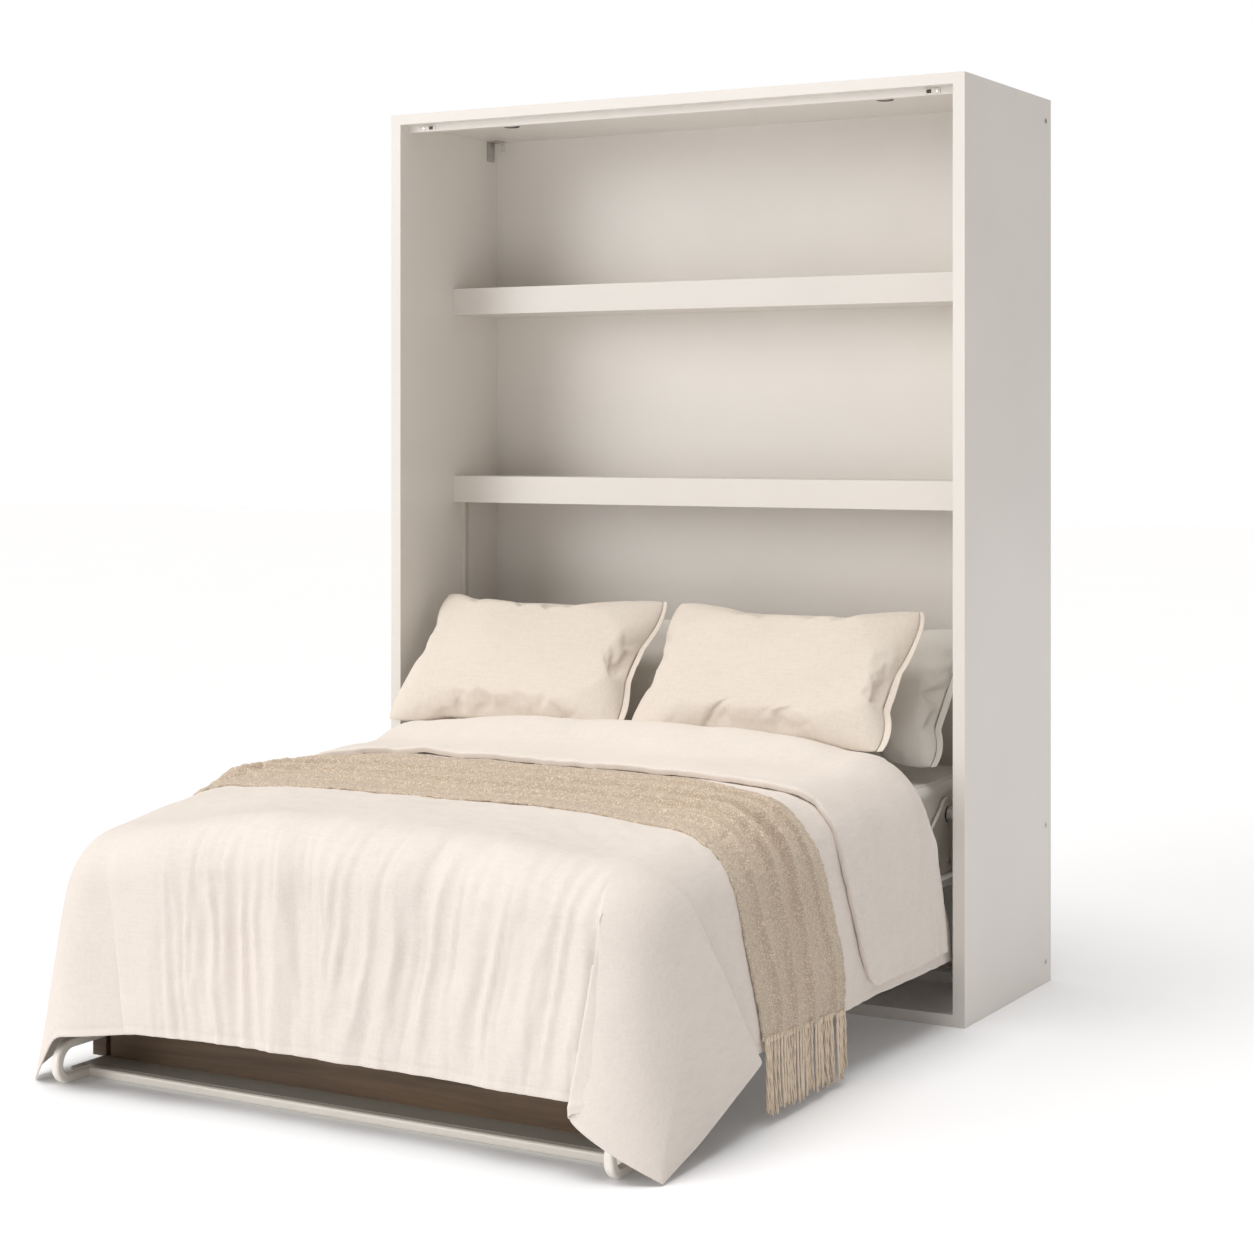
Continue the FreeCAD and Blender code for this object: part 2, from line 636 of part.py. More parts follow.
def hoop_path():
    """Centreline: back from the cross bar's end along the floor, up and over to the board."""
    low, high = BAR / 2, HOOP_TOP - BAR / 2
    front = HOOP_FRONT_Y + BAR / 2
    rear_low, rear_high = BAR_FRONT_Y + BAR, LEG_FACE_Y
    r_low, r_high = HOOP_R
    s = math.sin(math.radians(45))

    def at(y, z):
        return V(HOOP_X, y, z)

    low_arc = Part.Arc(
        at(front + r_low, low),
        at(front + r_low * (1 - s), low + r_low * (1 - s)),
        at(front, low + r_low),
    )
    high_arc = Part.Arc(
        at(front, high - r_high),
        at(front + r_high * (1 - s), high - r_high * (1 - s)),
        at(front + r_high, high),
    )
    edges = [
        Part.LineSegment(at(rear_low, low), at(front + r_low, low)),
        low_arc,
        Part.LineSegment(at(front, low + r_low), at(front, high - r_high)),
        high_arc,
        Part.LineSegment(at(front + r_high, high), at(rear_high, high)),
    ]
    return Part.Wire([e.toShape() for e in edges])


def hoop():
    """C-shaped end hoop of tube with softly rounded corners."""
    half, r = BAR / 2, 6.0
    y = BAR_FRONT_Y + BAR
    outline = box((HOOP_X - half, HOOP_X + half), (y, y + 1.0), (0.0, BAR))
    outline = outline.makeFillet(r, edges_where(outline, lambda e: is_along(e, V(0, 1, 0))))
    ring = [f for f in outline.Faces if abs(f.CenterOfMass.y - y) < 1e-6][0].OuterWire
    return hoop_path().makePipeShell([ring], True, False)


def edge_rod():
    """Rolled edge at the end of the foot plate, with a rounded nose."""
    z = BAR - EDGE_ROD_R
    rod = rod_y((EDGE_ROD_FRONT_Y, LEG_REAR_Y), EDGE_ROD_X + EDGE_ROD_R, z, EDGE_ROD_R)
    nose = Part.makeSphere(EDGE_ROD_R, V(EDGE_ROD_X + EDGE_ROD_R, EDGE_ROD_FRONT_Y, z))
    return rod.fuse(nose)


# ================================================================ bedding
def side_drop(top_x, hem_x, top_z, hem_z, y, tail, thickness):
    """A hanging side of cloth on the right, with a pointed tail at the foot if it has one."""
    slope = (hem_x - top_x) / (top_z - hem_z)

    def at(yy, z):
        return (top_x + (top_z - z) * slope, yy, z)

    outline = [at(y[1], top_z), at(y[1], hem_z)]
    if tail:
        outline += [at(y[0] + 170.0, hem_z), at(y[0], TAIL_Z)]
    else:
        outline += [at(y[0], hem_z)]
    outline += [at(y[0], top_z)]
    return prism(outline, (-thickness, 0, 0))


def duvet():
    """Duvet over the mattress: top, two sides and foot, with a tail at each foot corner."""
    foot_top, foot_hem = DUVET_FOOT_Y
    side_x, hem_x = DUVET_SIDE_X
    top = box((-side_x, side_x), (foot_top, DUVET_HEAD_Y), (MATTRESS_TOP + GAP, DUVET_TOP))
    side = side_drop(side_x, hem_x, DUVET_TOP, DUVET_HEM, (foot_hem + 14.0, DUVET_HEAD_Y), True, DUVET_T)
    slope = (foot_top - foot_hem) / (DUVET_TOP - DUVET_HEM)

    def at(x, z):
        return (x, foot_top - (DUVET_TOP - z) * slope, z)

    outline = [
        at(-side_x, DUVET_TOP),
        at(side_x, DUVET_TOP),
        at(hem_x + 10.0, TAIL_Z),
        at(712.0, 118.0),
        at(600.0, DUVET_HEM),
        at(-600.0, DUVET_HEM),
        at(-712.0, 118.0),
        at(-hem_x - 10.0, TAIL_Z),
    ]
    foot = prism(outline, (0, DUVET_T, 0))
    cloth = top.fuse([side, mirrored(side), foot])
    return cloth.removeSplitter()


def turndown():
    """The head end of the duvet, folded back over itself, with a crest where the pillows press."""
    side_x, hem_x = (x + GAP for x in DUVET_SIDE_X)
    side_x, hem_x = side_x + TURNDOWN_OVER, hem_x + TURNDOWN_OVER
    low = DUVET_TOP + GAP
    top = box((-side_x, side_x), (TURNDOWN_Y, DUVET_HEAD_Y), (low, TURNDOWN_TOP))
    crest = prism([(-PANEL_HALF, FRONT + y, z) for y, z in CREST], (2 * PANEL_HALF, 0, 0))
    outer = side_drop(side_x, hem_x, low, TURNDOWN_HEM, (TURNDOWN_SIDE_Y, DUVET_HEAD_Y), False, TURNDOWN_T)
    return top.fuse([crest, outer, mirrored(outer)]).removeSplitter()


def throw():
    """Throw across the bed, with its right-hand end hanging down the side."""
    side_x, hem_x = (x + 1.5 for x in DUVET_SIDE_X)
    low = DUVET_TOP + GAP
    top = box((-side_x, side_x + THROW_OVER), THROW_Y, (low, low + THROW_T))
    drop = side_drop(side_x + THROW_OVER, hem_x + THROW_OVER, low, THROW_HEM, THROW_DROP_Y, False, THROW_DROP_T)
    return top.fuse(drop).removeSplitter()


def fringe():
    """Fringe of the throw's hanging end, as a row of tassels."""
    x = DUVET_SIDE_X[1] + TASSEL_T / 2
    step = (THROW_DROP_Y[1] - THROW_DROP_Y[0]) / TASSELS
    tassels = []
    for n in range(TASSELS):
        y = THROW_DROP_Y[0] + n * step
        tassels.append(box((x, x + TASSEL_T), (y + 0.25 * step, y + 0.75 * step), (FRINGE_END, THROW_HEM)))
    return group(tassels)


def pillow(x, centre):
    """A stuffed pillow that leans back, thick in the middle."""
    width, height, thick = PILLOW
    core = Part.makeBox(width, height, thick, V(-width / 2, -height / 2, -thick / 2))
    core = core.makeFillet(thick * 0.42, core.Edges)
    core.rotate(V(0, 0, 0), V(1, 0, 0), PILLOW_TILT)
    core.translate(V(x, centre[0], centre[1]))
    return core


# ================================================================ nodes
def nodes():
    """Every piece by name."""
    made = {
        "side_panel_right": side_panel(),
        "side_panel_left": mirrored(side_panel()),
        "side_skids": both(box((INNER, INNER + BOARD), (FRONT, BACK), (0.0, BASE_T))),
        "top_board": top_board(),
        "bottom_board": box((-INNER, INNER), (FRONT, BACK), (0.0, BASE_T)),
        "back_panel": box(
            (-INNER, INNER), (BACK_PANEL_Y, BACK_PANEL_Y + BACK_PANEL_T), (BASE_T, TOP_Z)
        ),
        "wall_rails": wall_rails(),
        "headboard": headboard(),
        "wall_uprights": both(upright()),
        "rear_floor_rail": box(
            (-INNER + UPRIGHT_T, INNER - UPRIGHT_T), FLOOR_RAIL_Y, (BASE_T, BASE_T + FLOOR_RAIL_H)
        ),
        "top_rail": top_rail(),
        "catch_plates": group(catch_plate(side) for side in (-1, 1)),
        "catch_bolts": group(catch_bolt(side) for side in (-1, 1)),
        "catch_screws": group(catch_screw(side, 0.0, True) for side in (-1, 1)),
        "downlight_rims": group(downlight_rim(side) for side in (-1, 1)),
        "downlight_lenses": group(downlight_lens(side) for side in (-1, 1)),
        "corner_brackets": both(corner_bracket()),
        "corner_bracket_screws": group(
            s for screw in corner_bracket_screws() for s in (screw, mirrored(screw))
        ),
        "back_panel_clips": both(back_clip()),
        "base_brackets": both(base_bracket()),
        "connector_bolts": group(
            s for z in CONNECTOR_Z for s in (socket_bolt(z), mirrored(socket_bolt(z)))
        ),
        "pivot_plates": both(pivot_plate()),
        "pivot_pins": both(pivot_pin()),
        "strut_brackets": both(strut_bracket()),
        "strut_cylinders": both(strut_cylinder()),
        "strut_rods": both(strut_rod()),
        "front_panel_right": front_panel(),
        "front_panel_left": mirrored(front_panel()),
        "side_rail_right": side_rail(),
        "side_rail_left": mirrored(side_rail()),
        "cross_rails": cross_rails(),
        "slats": slats(),
        "slat_ledges": both(ledge()),
        "pivot_arms": both(pivot_arm()),
        "pivot_bushes": both(pivot_bush()),
        "arm_bolts": group(s for bolt in arm_bolts() for s in (bolt, mirrored(bolt))),
        "strut_studs": both(strut_stud()),
        "mattress_stop": mattress_stop(),
        "leg_hinge_brackets": group(hinge_bracket(side * x) for x in HINGE_X for side in (-1, 1)),
        "mattress": mattress(),
        "leg_board": leg_board(),
        "leg_end_posts": both(leg_post()),
        "leg_hinge_pins": both(group(hinge_pin(x) for x in HINGE_X)),
        "leg_foot_plate": foot_plate(),
        "leg_cross_bar": cross_bar(),
        "leg_hoop_right": hoop(),
        "leg_hoop_left": mirrored(hoop()),
        "leg_edge_rods": both(edge_rod()),
        "duvet": duvet(),
        "duvet_turndown": turndown(),
        "throw": throw(),
        "throw_fringe": fringe(),
        "pillow_front_left": pillow(PILLOW_FRONT_X[0], PILLOW_FRONT),
        "pillow_front_right": pillow(PILLOW_FRONT_X[1], PILLOW_FRONT),
        "pillow_back_left": pillow(PILLOW_BACK_X[0], PILLOW_BACK),
        "pillow_back_right": pillow(PILLOW_BACK_X[1], PILLOW_BACK),
    }
    for name, z in SHELF_Z.items():
        made[name + "_shelf"] = shelf(z)
        made[name + "_shelf_batten"] = shelf_batten(z)
    return made


os.makedirs("parts", exist_ok=True)
for name, shape in nodes().items():
    solids = shape.Solids
    if not solids or not shape.isValid():
        raise ValueError(name + " isn't a valid solid")
    shape.exportStep("parts/" + name + ".step")
    print(name, len(solids), round(shape.Volume / 1e6, 3), "litres")
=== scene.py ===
"""Looks for the wall bed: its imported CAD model, with real bedding, fabrics and finishes built round it."""

import math

import bpy
import numpy as np
from mathutils import Matrix, Vector


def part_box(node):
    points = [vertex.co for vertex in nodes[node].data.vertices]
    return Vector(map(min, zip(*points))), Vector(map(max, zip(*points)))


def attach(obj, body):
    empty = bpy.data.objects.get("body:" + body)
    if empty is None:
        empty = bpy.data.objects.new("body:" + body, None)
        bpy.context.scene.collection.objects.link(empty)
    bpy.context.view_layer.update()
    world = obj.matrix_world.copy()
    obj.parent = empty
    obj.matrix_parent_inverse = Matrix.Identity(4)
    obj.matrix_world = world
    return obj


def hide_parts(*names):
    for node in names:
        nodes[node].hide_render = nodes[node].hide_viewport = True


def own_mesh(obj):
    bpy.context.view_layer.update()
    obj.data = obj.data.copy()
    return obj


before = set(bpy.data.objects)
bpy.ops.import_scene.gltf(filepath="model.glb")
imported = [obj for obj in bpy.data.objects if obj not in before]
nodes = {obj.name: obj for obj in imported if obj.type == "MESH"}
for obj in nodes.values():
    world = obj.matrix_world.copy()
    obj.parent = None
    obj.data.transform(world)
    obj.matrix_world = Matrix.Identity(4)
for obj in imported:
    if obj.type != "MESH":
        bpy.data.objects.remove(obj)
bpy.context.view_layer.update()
scene = bpy.context.scene

MM = 0.001
PANEL_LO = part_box("side_panel_right")[0]
BED_LO, BED_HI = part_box("mattress")
FRONT = PANEL_LO.y  # the cabinet's front plane
INNER = PANEL_LO.x  # inner face of the right side panel
GAP = 0.0035  # fabric stays this far from the side panels and the floor
CLEAR_X = INNER - GAP  # so that the bed can close

# ---------------------------------------------------------------- small helpers


def smooth(a, b, x):
    """0 before a, 1 after b, and a smooth step between them."""
    t = np.clip((np.asarray(x, float) - a) / (b - a), 0, 1)
    return t * t * (3 - 2 * t)


def lattice_noise(x, y, seed):
    """Smooth value noise from -1 to 1 at points (x, y), on a lattice of one unit."""
    table = np.random.default_rng(seed).uniform(-1, 1, (256, 256))
    xi, yi = np.floor(x).astype(int), np.floor(y).astype(int)
    fx, fy = x - xi, y - yi
    fx, fy = fx * fx * (3 - 2 * fx), fy * fy * (3 - 2 * fy)
    a = table[xi % 256, yi % 256] * (1 - fx) + table[(xi + 1) % 256, yi % 256] * fx
    b = table[xi % 256, (yi + 1) % 256] * (1 - fx) + table[(xi + 1) % 256, (yi + 1) % 256] * fx
    return a * (1 - fy) + b * fy


def new_object(name, verts, faces, shade_smooth=True):
    mesh = bpy.data.meshes.new(name)
    mesh.from_pydata([tuple(v) for v in verts], [], faces)
    mesh.update()
    obj = bpy.data.objects.new(name, mesh)
    scene.collection.objects.link(obj)
    if shade_smooth:
        mesh.polygons.foreach_set("use_smooth", [True] * len(mesh.polygons))
    return obj


def grid_object(name, points):
    """A mesh from a grid of points (n, m, 3) in metres."""
    n, m = points.shape[:2]
    i, j = np.meshgrid(np.arange(n - 1), np.arange(m - 1), indexing="ij")
    a = (i * m + j).ravel()
    faces = np.stack([a, a + 1, a + m + 1, a + m], 1).tolist()
    return new_object(name, points.reshape(-1, 3), faces)


def smooth_grid(points, times):
    """Rounds a grid of points by averaging each with its neighbours."""
    for _ in range(times):
        q = points.copy()
        q[1:-1, 1:-1] = 0.5 * points[1:-1, 1:-1] + 0.125 * (
            points[:-2, 1:-1] + points[2:, 1:-1] + points[1:-1, :-2] + points[1:-1, 2:]
        )
        for edge, before, after in (
            (np.s_[0, 1:-1], np.s_[0, :-2], np.s_[0, 2:]),
            (np.s_[-1, 1:-1], np.s_[-1, :-2], np.s_[-1, 2:]),
            (np.s_[1:-1, 0], np.s_[:-2, 0], np.s_[2:, 0]),
            (np.s_[1:-1, -1], np.s_[:-2, -1], np.s_[2:, -1]),
        ):
            q[edge] = 0.5 * points[edge] + 0.25 * (points[before] + points[after])
        points = q
    return points


def normals_of(points):
    """The unit normal at each point of a grid, on the side that the first draped sheet shows."""
    du = np.gradient(points, axis=0)
    dv = np.gradient(points, axis=1)
    n = np.cross(dv, du)
    return n / np.maximum(np.linalg.norm(n, axis=-1, keepdims=True), 1e-9)


# ---------------------------------------------------------------- materials


class Nodes:
    """A short way to write a node tree."""

    def __init__(self, name):
        self.material = bpy.data.materials.new(name)
        self.material.use_nodes = True
        self.tree = self.material.node_tree
        self.shader = self.tree.nodes["Principled BSDF"]

    def add(self, kind, **settings):
        node = self.tree.nodes.new(kind)
        for key, value in settings.items():
            if hasattr(node, key):
                setattr(node, key, value)
            else:
                node.inputs[key.replace("_", " ")].default_value = value
        return node

    def link(self, a, b):
        self.tree.links.new(a, b)

    def set(self, **values):
        for key, value in values.items():
            self.shader.inputs[key.replace("_", " ")].default_value = value

    def place(self, scale=(1, 1, 1), rotation=(0, 0, 0)):
        """Object coordinates, in metres, scaled and turned."""
        coords = self.add("ShaderNodeTexCoord")
        mapping = self.add("ShaderNodeMapping")
        mapping.inputs["Scale"].default_value = scale
        mapping.inputs["Rotation"].default_value = rotation
        self.link(coords.outputs["Object"], mapping.inputs["Vector"])
        return mapping.outputs["Vector"]

    def noise(self, where, scale, detail=3.0, roughness=0.5, distortion=0.0):
        node = self.add("ShaderNodeTexNoise")
        node.inputs["Scale"].default_value = scale
        node.inputs["Detail"].default_value = detail
        node.inputs["Roughness"].default_value = roughness
        node.inputs["Distortion"].default_value = distortion
        self.link(where, node.inputs["Vector"])
        return node.outputs["Fac"]

    def ramp(self, value, stops):
        node = self.add("ShaderNodeValToRGB")
        ramp = node.color_ramp
        ramp.elements[0].position, ramp.elements[0].color = stops[0][0], (*stops[0][1], 1)
        ramp.elements[1].position, ramp.elements[1].color = stops[-1][0], (*stops[-1][1], 1)
        for at, colour in stops[1:-1]:
            ramp.elements.new(at).color = (*colour, 1)
        self.link(value, node.inputs["Fac"])
        return node.outputs["Color"]

    def math(self, operation, a, b=None):
        node = self.add("ShaderNodeMath", operation=operation)
        for socket, value in zip(node.inputs, (a, b)):
            if value is None:
                continue
            if isinstance(value, (int, float)):
                socket.default_value = value
            else:
                self.link(value, socket)
        return node.outputs["Value"]

    def range(self, value, low, high):
        node = self.add("ShaderNodeMapRange")
        node.inputs["To Min"].default_value = low
        node.inputs["To Max"].default_value = high
        self.link(value, node.inputs["Value"])
        return node.outputs["Result"]

    def bump(self, height, strength, distance=0.001, under=None):
        node = self.add("ShaderNodeBump")
        node.inputs["Strength"].default_value = strength
        node.inputs["Distance"].default_value = distance
        self.link(height, node.inputs["Height"])
        if under is not None:
            self.link(under, node.inputs["Normal"])
        return node.outputs["Normal"]


def tint(colour, factor):
    return tuple(min(1.0, c * factor) for c in colour)


def lacquer(name, colour, roughness=0.36):
    """Sprayed satin lacquer on board: a faint orange peel and a slightly uneven gloss."""
    m = Nodes(name)
    where = m.place()
    cloud = m.noise(where, 2.6, 3.0, 0.55)
    m.link(m.ramp(cloud, [(0.3, tint(colour, 0.975)), (0.7, tint(colour, 1.015))]),
           m.shader.inputs["Base Color"])
    peel = m.noise(where, 420.0, 2.0)
    m.link(m.bump(peel, 0.07, 0.0006), m.shader.inputs["Normal"])
    m.link(m.range(m.noise(where, 34.0, 4.0), roughness - 0.05, roughness + 0.07),
           m.shader.inputs["Roughness"])
    m.set(Coat_Weight=0.12, Coat_Roughness=0.3)
    return m.material


def painted_metal(name, colour, roughness=0.3, coat=0.35):
    """Powder coat: a fine pebbled skin with a soft gloss, rubbed a little."""
    m = Nodes(name)
    where = m.place()
    cloud = m.noise(where, 7.0, 4.0, 0.6)
    m.link(m.ramp(cloud, [(0.25, tint(colour, 0.95)), (0.75, tint(colour, 1.03))]),
           m.shader.inputs["Base Color"])
    m.link(m.bump(m.noise(where, 900.0, 2.0), 0.1, 0.0004), m.shader.inputs["Normal"])
    m.link(m.range(m.noise(where, 60.0, 3.0), roughness - 0.06, roughness + 0.09),
           m.shader.inputs["Roughness"])
    m.set(Coat_Weight=coat, Coat_Roughness=0.22)
    return m.material


def bare_metal(name, colour, roughness=0.28, along=(1, 1, 40)):
    """Zinc-plated or brushed steel with fine drawn lines."""
    m = Nodes(name)
    lines = m.noise(m.place(along), 60.0, 4.0, 0.6)
    m.link(m.ramp(lines, [(0.3, tint(colour, 0.82)), (0.7, tint(colour, 1.08))]),
           m.shader.inputs["Base Color"])
    m.link(m.range(lines, roughness - 0.08, roughness + 0.12), m.shader.inputs["Roughness"])
    m.link(m.bump(lines, 0.08, 0.0004), m.shader.inputs["Normal"])
    m.set(Metallic=1.0)
    return m.material


def wood(name, light, dark, along="X", scale=1.0, roughness=0.5):
    """Long grain: stretched noise for the figure, finer pores over it, and soft cathedral bands."""
    m = Nodes(name)
    stretch = {"X": (1.6, 26, 26), "Y": (26, 1.6, 26), "Z": (26, 26, 1.6)}[along]
    where = m.place(tuple(s * scale for s in stretch))
    figure = m.noise(where, 1.0, 5.0, 0.6, 0.7)
    pores = m.noise(m.place(tuple(s * scale * 9 for s in stretch)), 1.0, 3.0, 0.7)
    mixed = m.math("ADD", m.math("MULTIPLY", figure, 0.8), m.math("MULTIPLY", pores, 0.2))
    middle = tuple((a + b) / 2 for a, b in zip(light, dark))
    m.link(m.ramp(mixed, [(0.34, dark), (0.5, middle), (0.66, light)]), m.shader.inputs["Base Color"])
    m.link(m.bump(pores, 0.16, 0.0006), m.shader.inputs["Normal"])
    m.link(m.range(pores, roughness - 0.08, roughness + 0.1), m.shader.inputs["Roughness"])
    return m.material


def woven(name, colour, thread=0.0011, slub=0.05, sheen=0.2, bump=0.35, roughness=0.88, turn=0.0):
    """Plain-weave cloth: warp and weft threads of uneven thickness, slubs and a soft sheen."""
    m = Nodes(name)
    turned = (0.0, 0.0, turn)
    count = 1.0 / thread
    warp = m.noise(m.place((count, count * 0.05, count * 0.3), turned), 0.55, 2.0, 0.6)
    weft = m.noise(m.place((count * 0.05, count, count * 0.9), turned), 0.55, 2.0, 0.6)
    threads = m.math("MULTIPLY", m.math("ADD", warp, weft), 0.5)
    slubs = m.noise(m.place((220, 16, 60), turned), 1.0, 3.0, 0.65)
    slubs_across = m.noise(m.place((16, 220, 200), turned), 1.0, 3.0, 0.65)
    cloud = m.noise(m.place(), 5.0, 3.0, 0.5)
    tone = m.math("ADD", m.math("MULTIPLY", threads, 0.4),
                  m.math("ADD", m.math("MULTIPLY", slubs, 0.22),
                         m.math("ADD", m.math("MULTIPLY", slubs_across, 0.2),
                                m.math("MULTIPLY", cloud, 0.18))))
    tones = [(0.38, tint(colour, 1 - slub * 1.6)), (0.5, colour), (0.62, tint(colour, 1 + slub))]
    m.link(m.ramp(tone, tones), m.shader.inputs["Base Color"])
    coarse = m.bump(slubs, bump * 0.5, 0.0012)
    m.link(m.bump(threads, bump, 0.0006, coarse), m.shader.inputs["Normal"])
    m.link(m.range(cloud, roughness - 0.05, roughness + 0.05), m.shader.inputs["Roughness"])
    m.set(Sheen_Weight=sheen, Sheen_Roughness=0.45, Sheen_Tint=(*tint(colour, 1.1), 1))
    return m.material


def chenille(name, colour):
    """Nubby chenille: short tufts in rows, with painted shade darkening the hollows between them."""
    m = Nodes(name)
    where = m.place()
    tufts = m.add("ShaderNodeTexVoronoi")
    tufts.inputs["Scale"].default_value = 260.0
    tufts.inputs["Randomness"].default_value = 0.9
    warped = m.add("ShaderNodeVectorMath", operation="ADD")
    wobble = m.add("ShaderNodeTexNoise")
    wobble.inputs["Scale"].default_value = 90.0
    m.link(where, wobble.inputs["Vector"])
    small = m.add("ShaderNodeVectorMath", operation="SCALE")
    small.inputs["Scale"].default_value = 0.012
    m.link(wobble.outputs["Color"], small.inputs[0])
    m.link(where, warped.inputs[0])
    m.link(small.outputs["Vector"], warped.inputs[1])
    m.link(warped.outputs["Vector"], tufts.inputs["Vector"])
    rows = m.noise(m.place((60, 260, 140)), 1.0, 3.0, 0.7)
    fluff = m.noise(where, 900.0, 3.0, 0.7)
    height = m.math("ADD", m.math("MULTIPLY", tufts.outputs["Distance"], -0.9),
                    m.math("ADD", m.math("MULTIPLY", rows, 0.7), m.math("MULTIPLY", fluff, 0.25)))
    # painted shade: the low parts between the tufts get a darker colour, standing in for the shade in the
    # hollows
    tones = [(0.0, tint(colour, 0.64)), (0.25, tint(colour, 0.92)), (0.55, tint(colour, 1.08))]
    m.link(m.ramp(height, tones), m.shader.inputs["Base Color"])
    m.link(m.bump(height, 0.75, 0.003), m.shader.inputs["Normal"])
    m.set(Roughness=0.95, Sheen_Weight=0.5, Sheen_Roughness=0.4, Sheen_Tint=(*tint(colour, 1.15), 1))
    return m.material


def clear_lens(name):
    """A small moulded diffuser, unlit."""
    m = Nodes(name)
    m.link(m.range(m.noise(m.place(), 300.0, 2.0), 0.12, 0.3), m.shader.inputs["Roughness"])
    m.link(m.ramp(m.noise(m.place(), 90.0), [(0.4, (0.03, 0.03, 0.03)), (0.6, (0.06, 0.06, 0.06))]),
           m.shader.inputs["Base Color"])
    m.set(IOR=1.49, Coat_Weight=0.6)
    return m.material


CREAM = (0.80, 0.765, 0.72)
mat = {
    "lacquer": lacquer("satin_lacquer", CREAM),
    "cream_steel": painted_metal("cream_powder_coat", (0.74, 0.70, 0.635)),
    "steel": bare_metal("zinc_steel", (0.60, 0.59, 0.57)),
    "dark_steel": painted_metal("dark_powder_coat", (0.045, 0.042, 0.04), 0.42, 0.1),
    "plain_wood": wood("brown_oak", (0.19, 0.12, 0.066), (0.09, 0.052, 0.027), "X", 0.9, 0.55),
    "birch": wood("birch_ply", (0.80, 0.66, 0.47), (0.68, 0.53, 0.35), "X", 0.8, 0.45),
    "lens": clear_lens("downlight_lens"),
    "bush": painted_metal("black_nylon", (0.03, 0.03, 0.03), 0.5, 0.0),
    "ticking": woven("mattress_sheet", (0.92, 0.89, 0.85), 0.0007, 0.03, 0.25, 0.2),
    "linen": woven("washed_linen", (0.78, 0.715, 0.66), 0.0012, 0.045, 0.18, 0.4),
    "pillow_linen": woven("pillow_linen", (0.765, 0.69, 0.61), 0.0012, 0.055, 0.18, 0.45, turn=0.3),
    "white_cotton": woven("percale", (0.80, 0.77, 0.72), 0.0006, 0.025, 0.25, 0.15),
    "throw_chenille": chenille("chenille_tan", (0.90, 0.75, 0.60)),
    "fringe": woven("fringe_yarn", (0.76, 0.64, 0.51), 0.0016, 0.10, 0.4, 0.6),
    "leg_paint": painted_metal("leg_powder_coat", (0.86, 0.82, 0.75)),
    # the foot plate is a light part like the leg's bars: this mid grey is painted shade for the shade under
    # the bed
    "shaded_plate_paint": painted_metal("foot_plate_painted_shade", (0.46, 0.46, 0.42), 0.4, 0.15),
}

BEVELS = {  # edge rounding by slot, in metres
    "lacquer": 0.0012, "cream_steel": 0.0008, "plain_wood": 0.001, "birch": 0.001, "dark_steel": 0.0004,
}
OTHER_FINISH = {  # nodes that show another finish than their slot's
    # the foot plate takes a darkened paint, which is painted shade
    "leg_foot_plate": "shaded_plate_paint", "leg_cross_bar": "leg_paint", "leg_hoop_right": "leg_paint",
    "leg_hoop_left": "leg_paint", "pivot_plates": "cream_steel", "pivot_arms": "cream_steel",
}


def finish_cad_nodes():
    """Each CAD node gets its slot's finish, and those in BEVELS a fine rounding on their edges."""
    for name, obj in nodes.items():
        slot = obj.data.materials[0].name.split(".")[0]
        chosen = mat[OTHER_FINISH.get(name, slot)]
        for i in range(len(obj.data.materials)):
            obj.data.materials[i] = chosen
        if slot in BEVELS:
            bevel = obj.modifiers.new("edge", "BEVEL")
            bevel.width = BEVELS[slot]
            bevel.segments = 2
            bevel.limit_method = "ANGLE"
            bevel.angle_limit = math.radians(40)
            bevel.harden_normals = True


finish_cad_nodes()

# ---------------------------------------------------------------- the camera, light and floor

camera_data = bpy.data.cameras.new("camera")
camera = bpy.data.objects.new("camera", camera_data)
scene.collection.objects.link(camera)
camera.location = (2.983, FRONT - 5.408, 1.405)
camera.rotation_euler = (math.radians(90.0), 0.0, math.radians(29.63))
camera_data.lens = 70.49
camera_data.sensor_width = 36.0
camera_data.shift_y = -0.1565
camera_data.clip_end = 60.0
scene.camera = camera
scene.view_settings.view_transform = "Standard"

AMBIENT = 0.37
world = bpy.data.worlds.new("studio")
scene.world = world
world.use_nodes = True
world_nodes = world.node_tree.nodes
seen = world_nodes.new("ShaderNodeBackground")
seen.inputs["Color"].default_value = (1.0, 1.0, 1.0, 1)
lit = world_nodes["Background"]
lit.inputs["Color"].default_value = (1.0, 0.955, 0.905, 1)
lit.inputs["Strength"].default_value = AMBIENT
path = world_nodes.new("ShaderNodeLightPath")
mix = world_nodes.new("ShaderNodeMixShader")
world.node_tree.links.new(path.outputs["Is Camera Ray"], mix.inputs[0])
world.node_tree.links.new(lit.outputs[0], mix.inputs[1])
world.node_tree.links.new(seen.outputs[0], mix.inputs[2])
world.node_tree.links.new(mix.outputs[0], world_nodes["World Output"].inputs["Surface"])


def sun(name, towards, energy, angle, colour):
    data = bpy.data.lights.new(name, "SUN")
    data.energy = energy
    data.angle = math.radians(angle)
    data.color = colour
    obj = bpy.data.objects.new(name, data)
    scene.collection.objects.link(obj)
    obj.rotation_euler = Vector(towards).to_track_quat("-Z", "Y").to_euler()


sun("key_softbox", (0.52, 0.78, -0.30), 1.18, 36.0, (1.0, 0.985, 0.965))
sun("top_softbox", (0.05, 0.12, -1.0), 1.92, 42.0, (1.0, 0.995, 0.985))

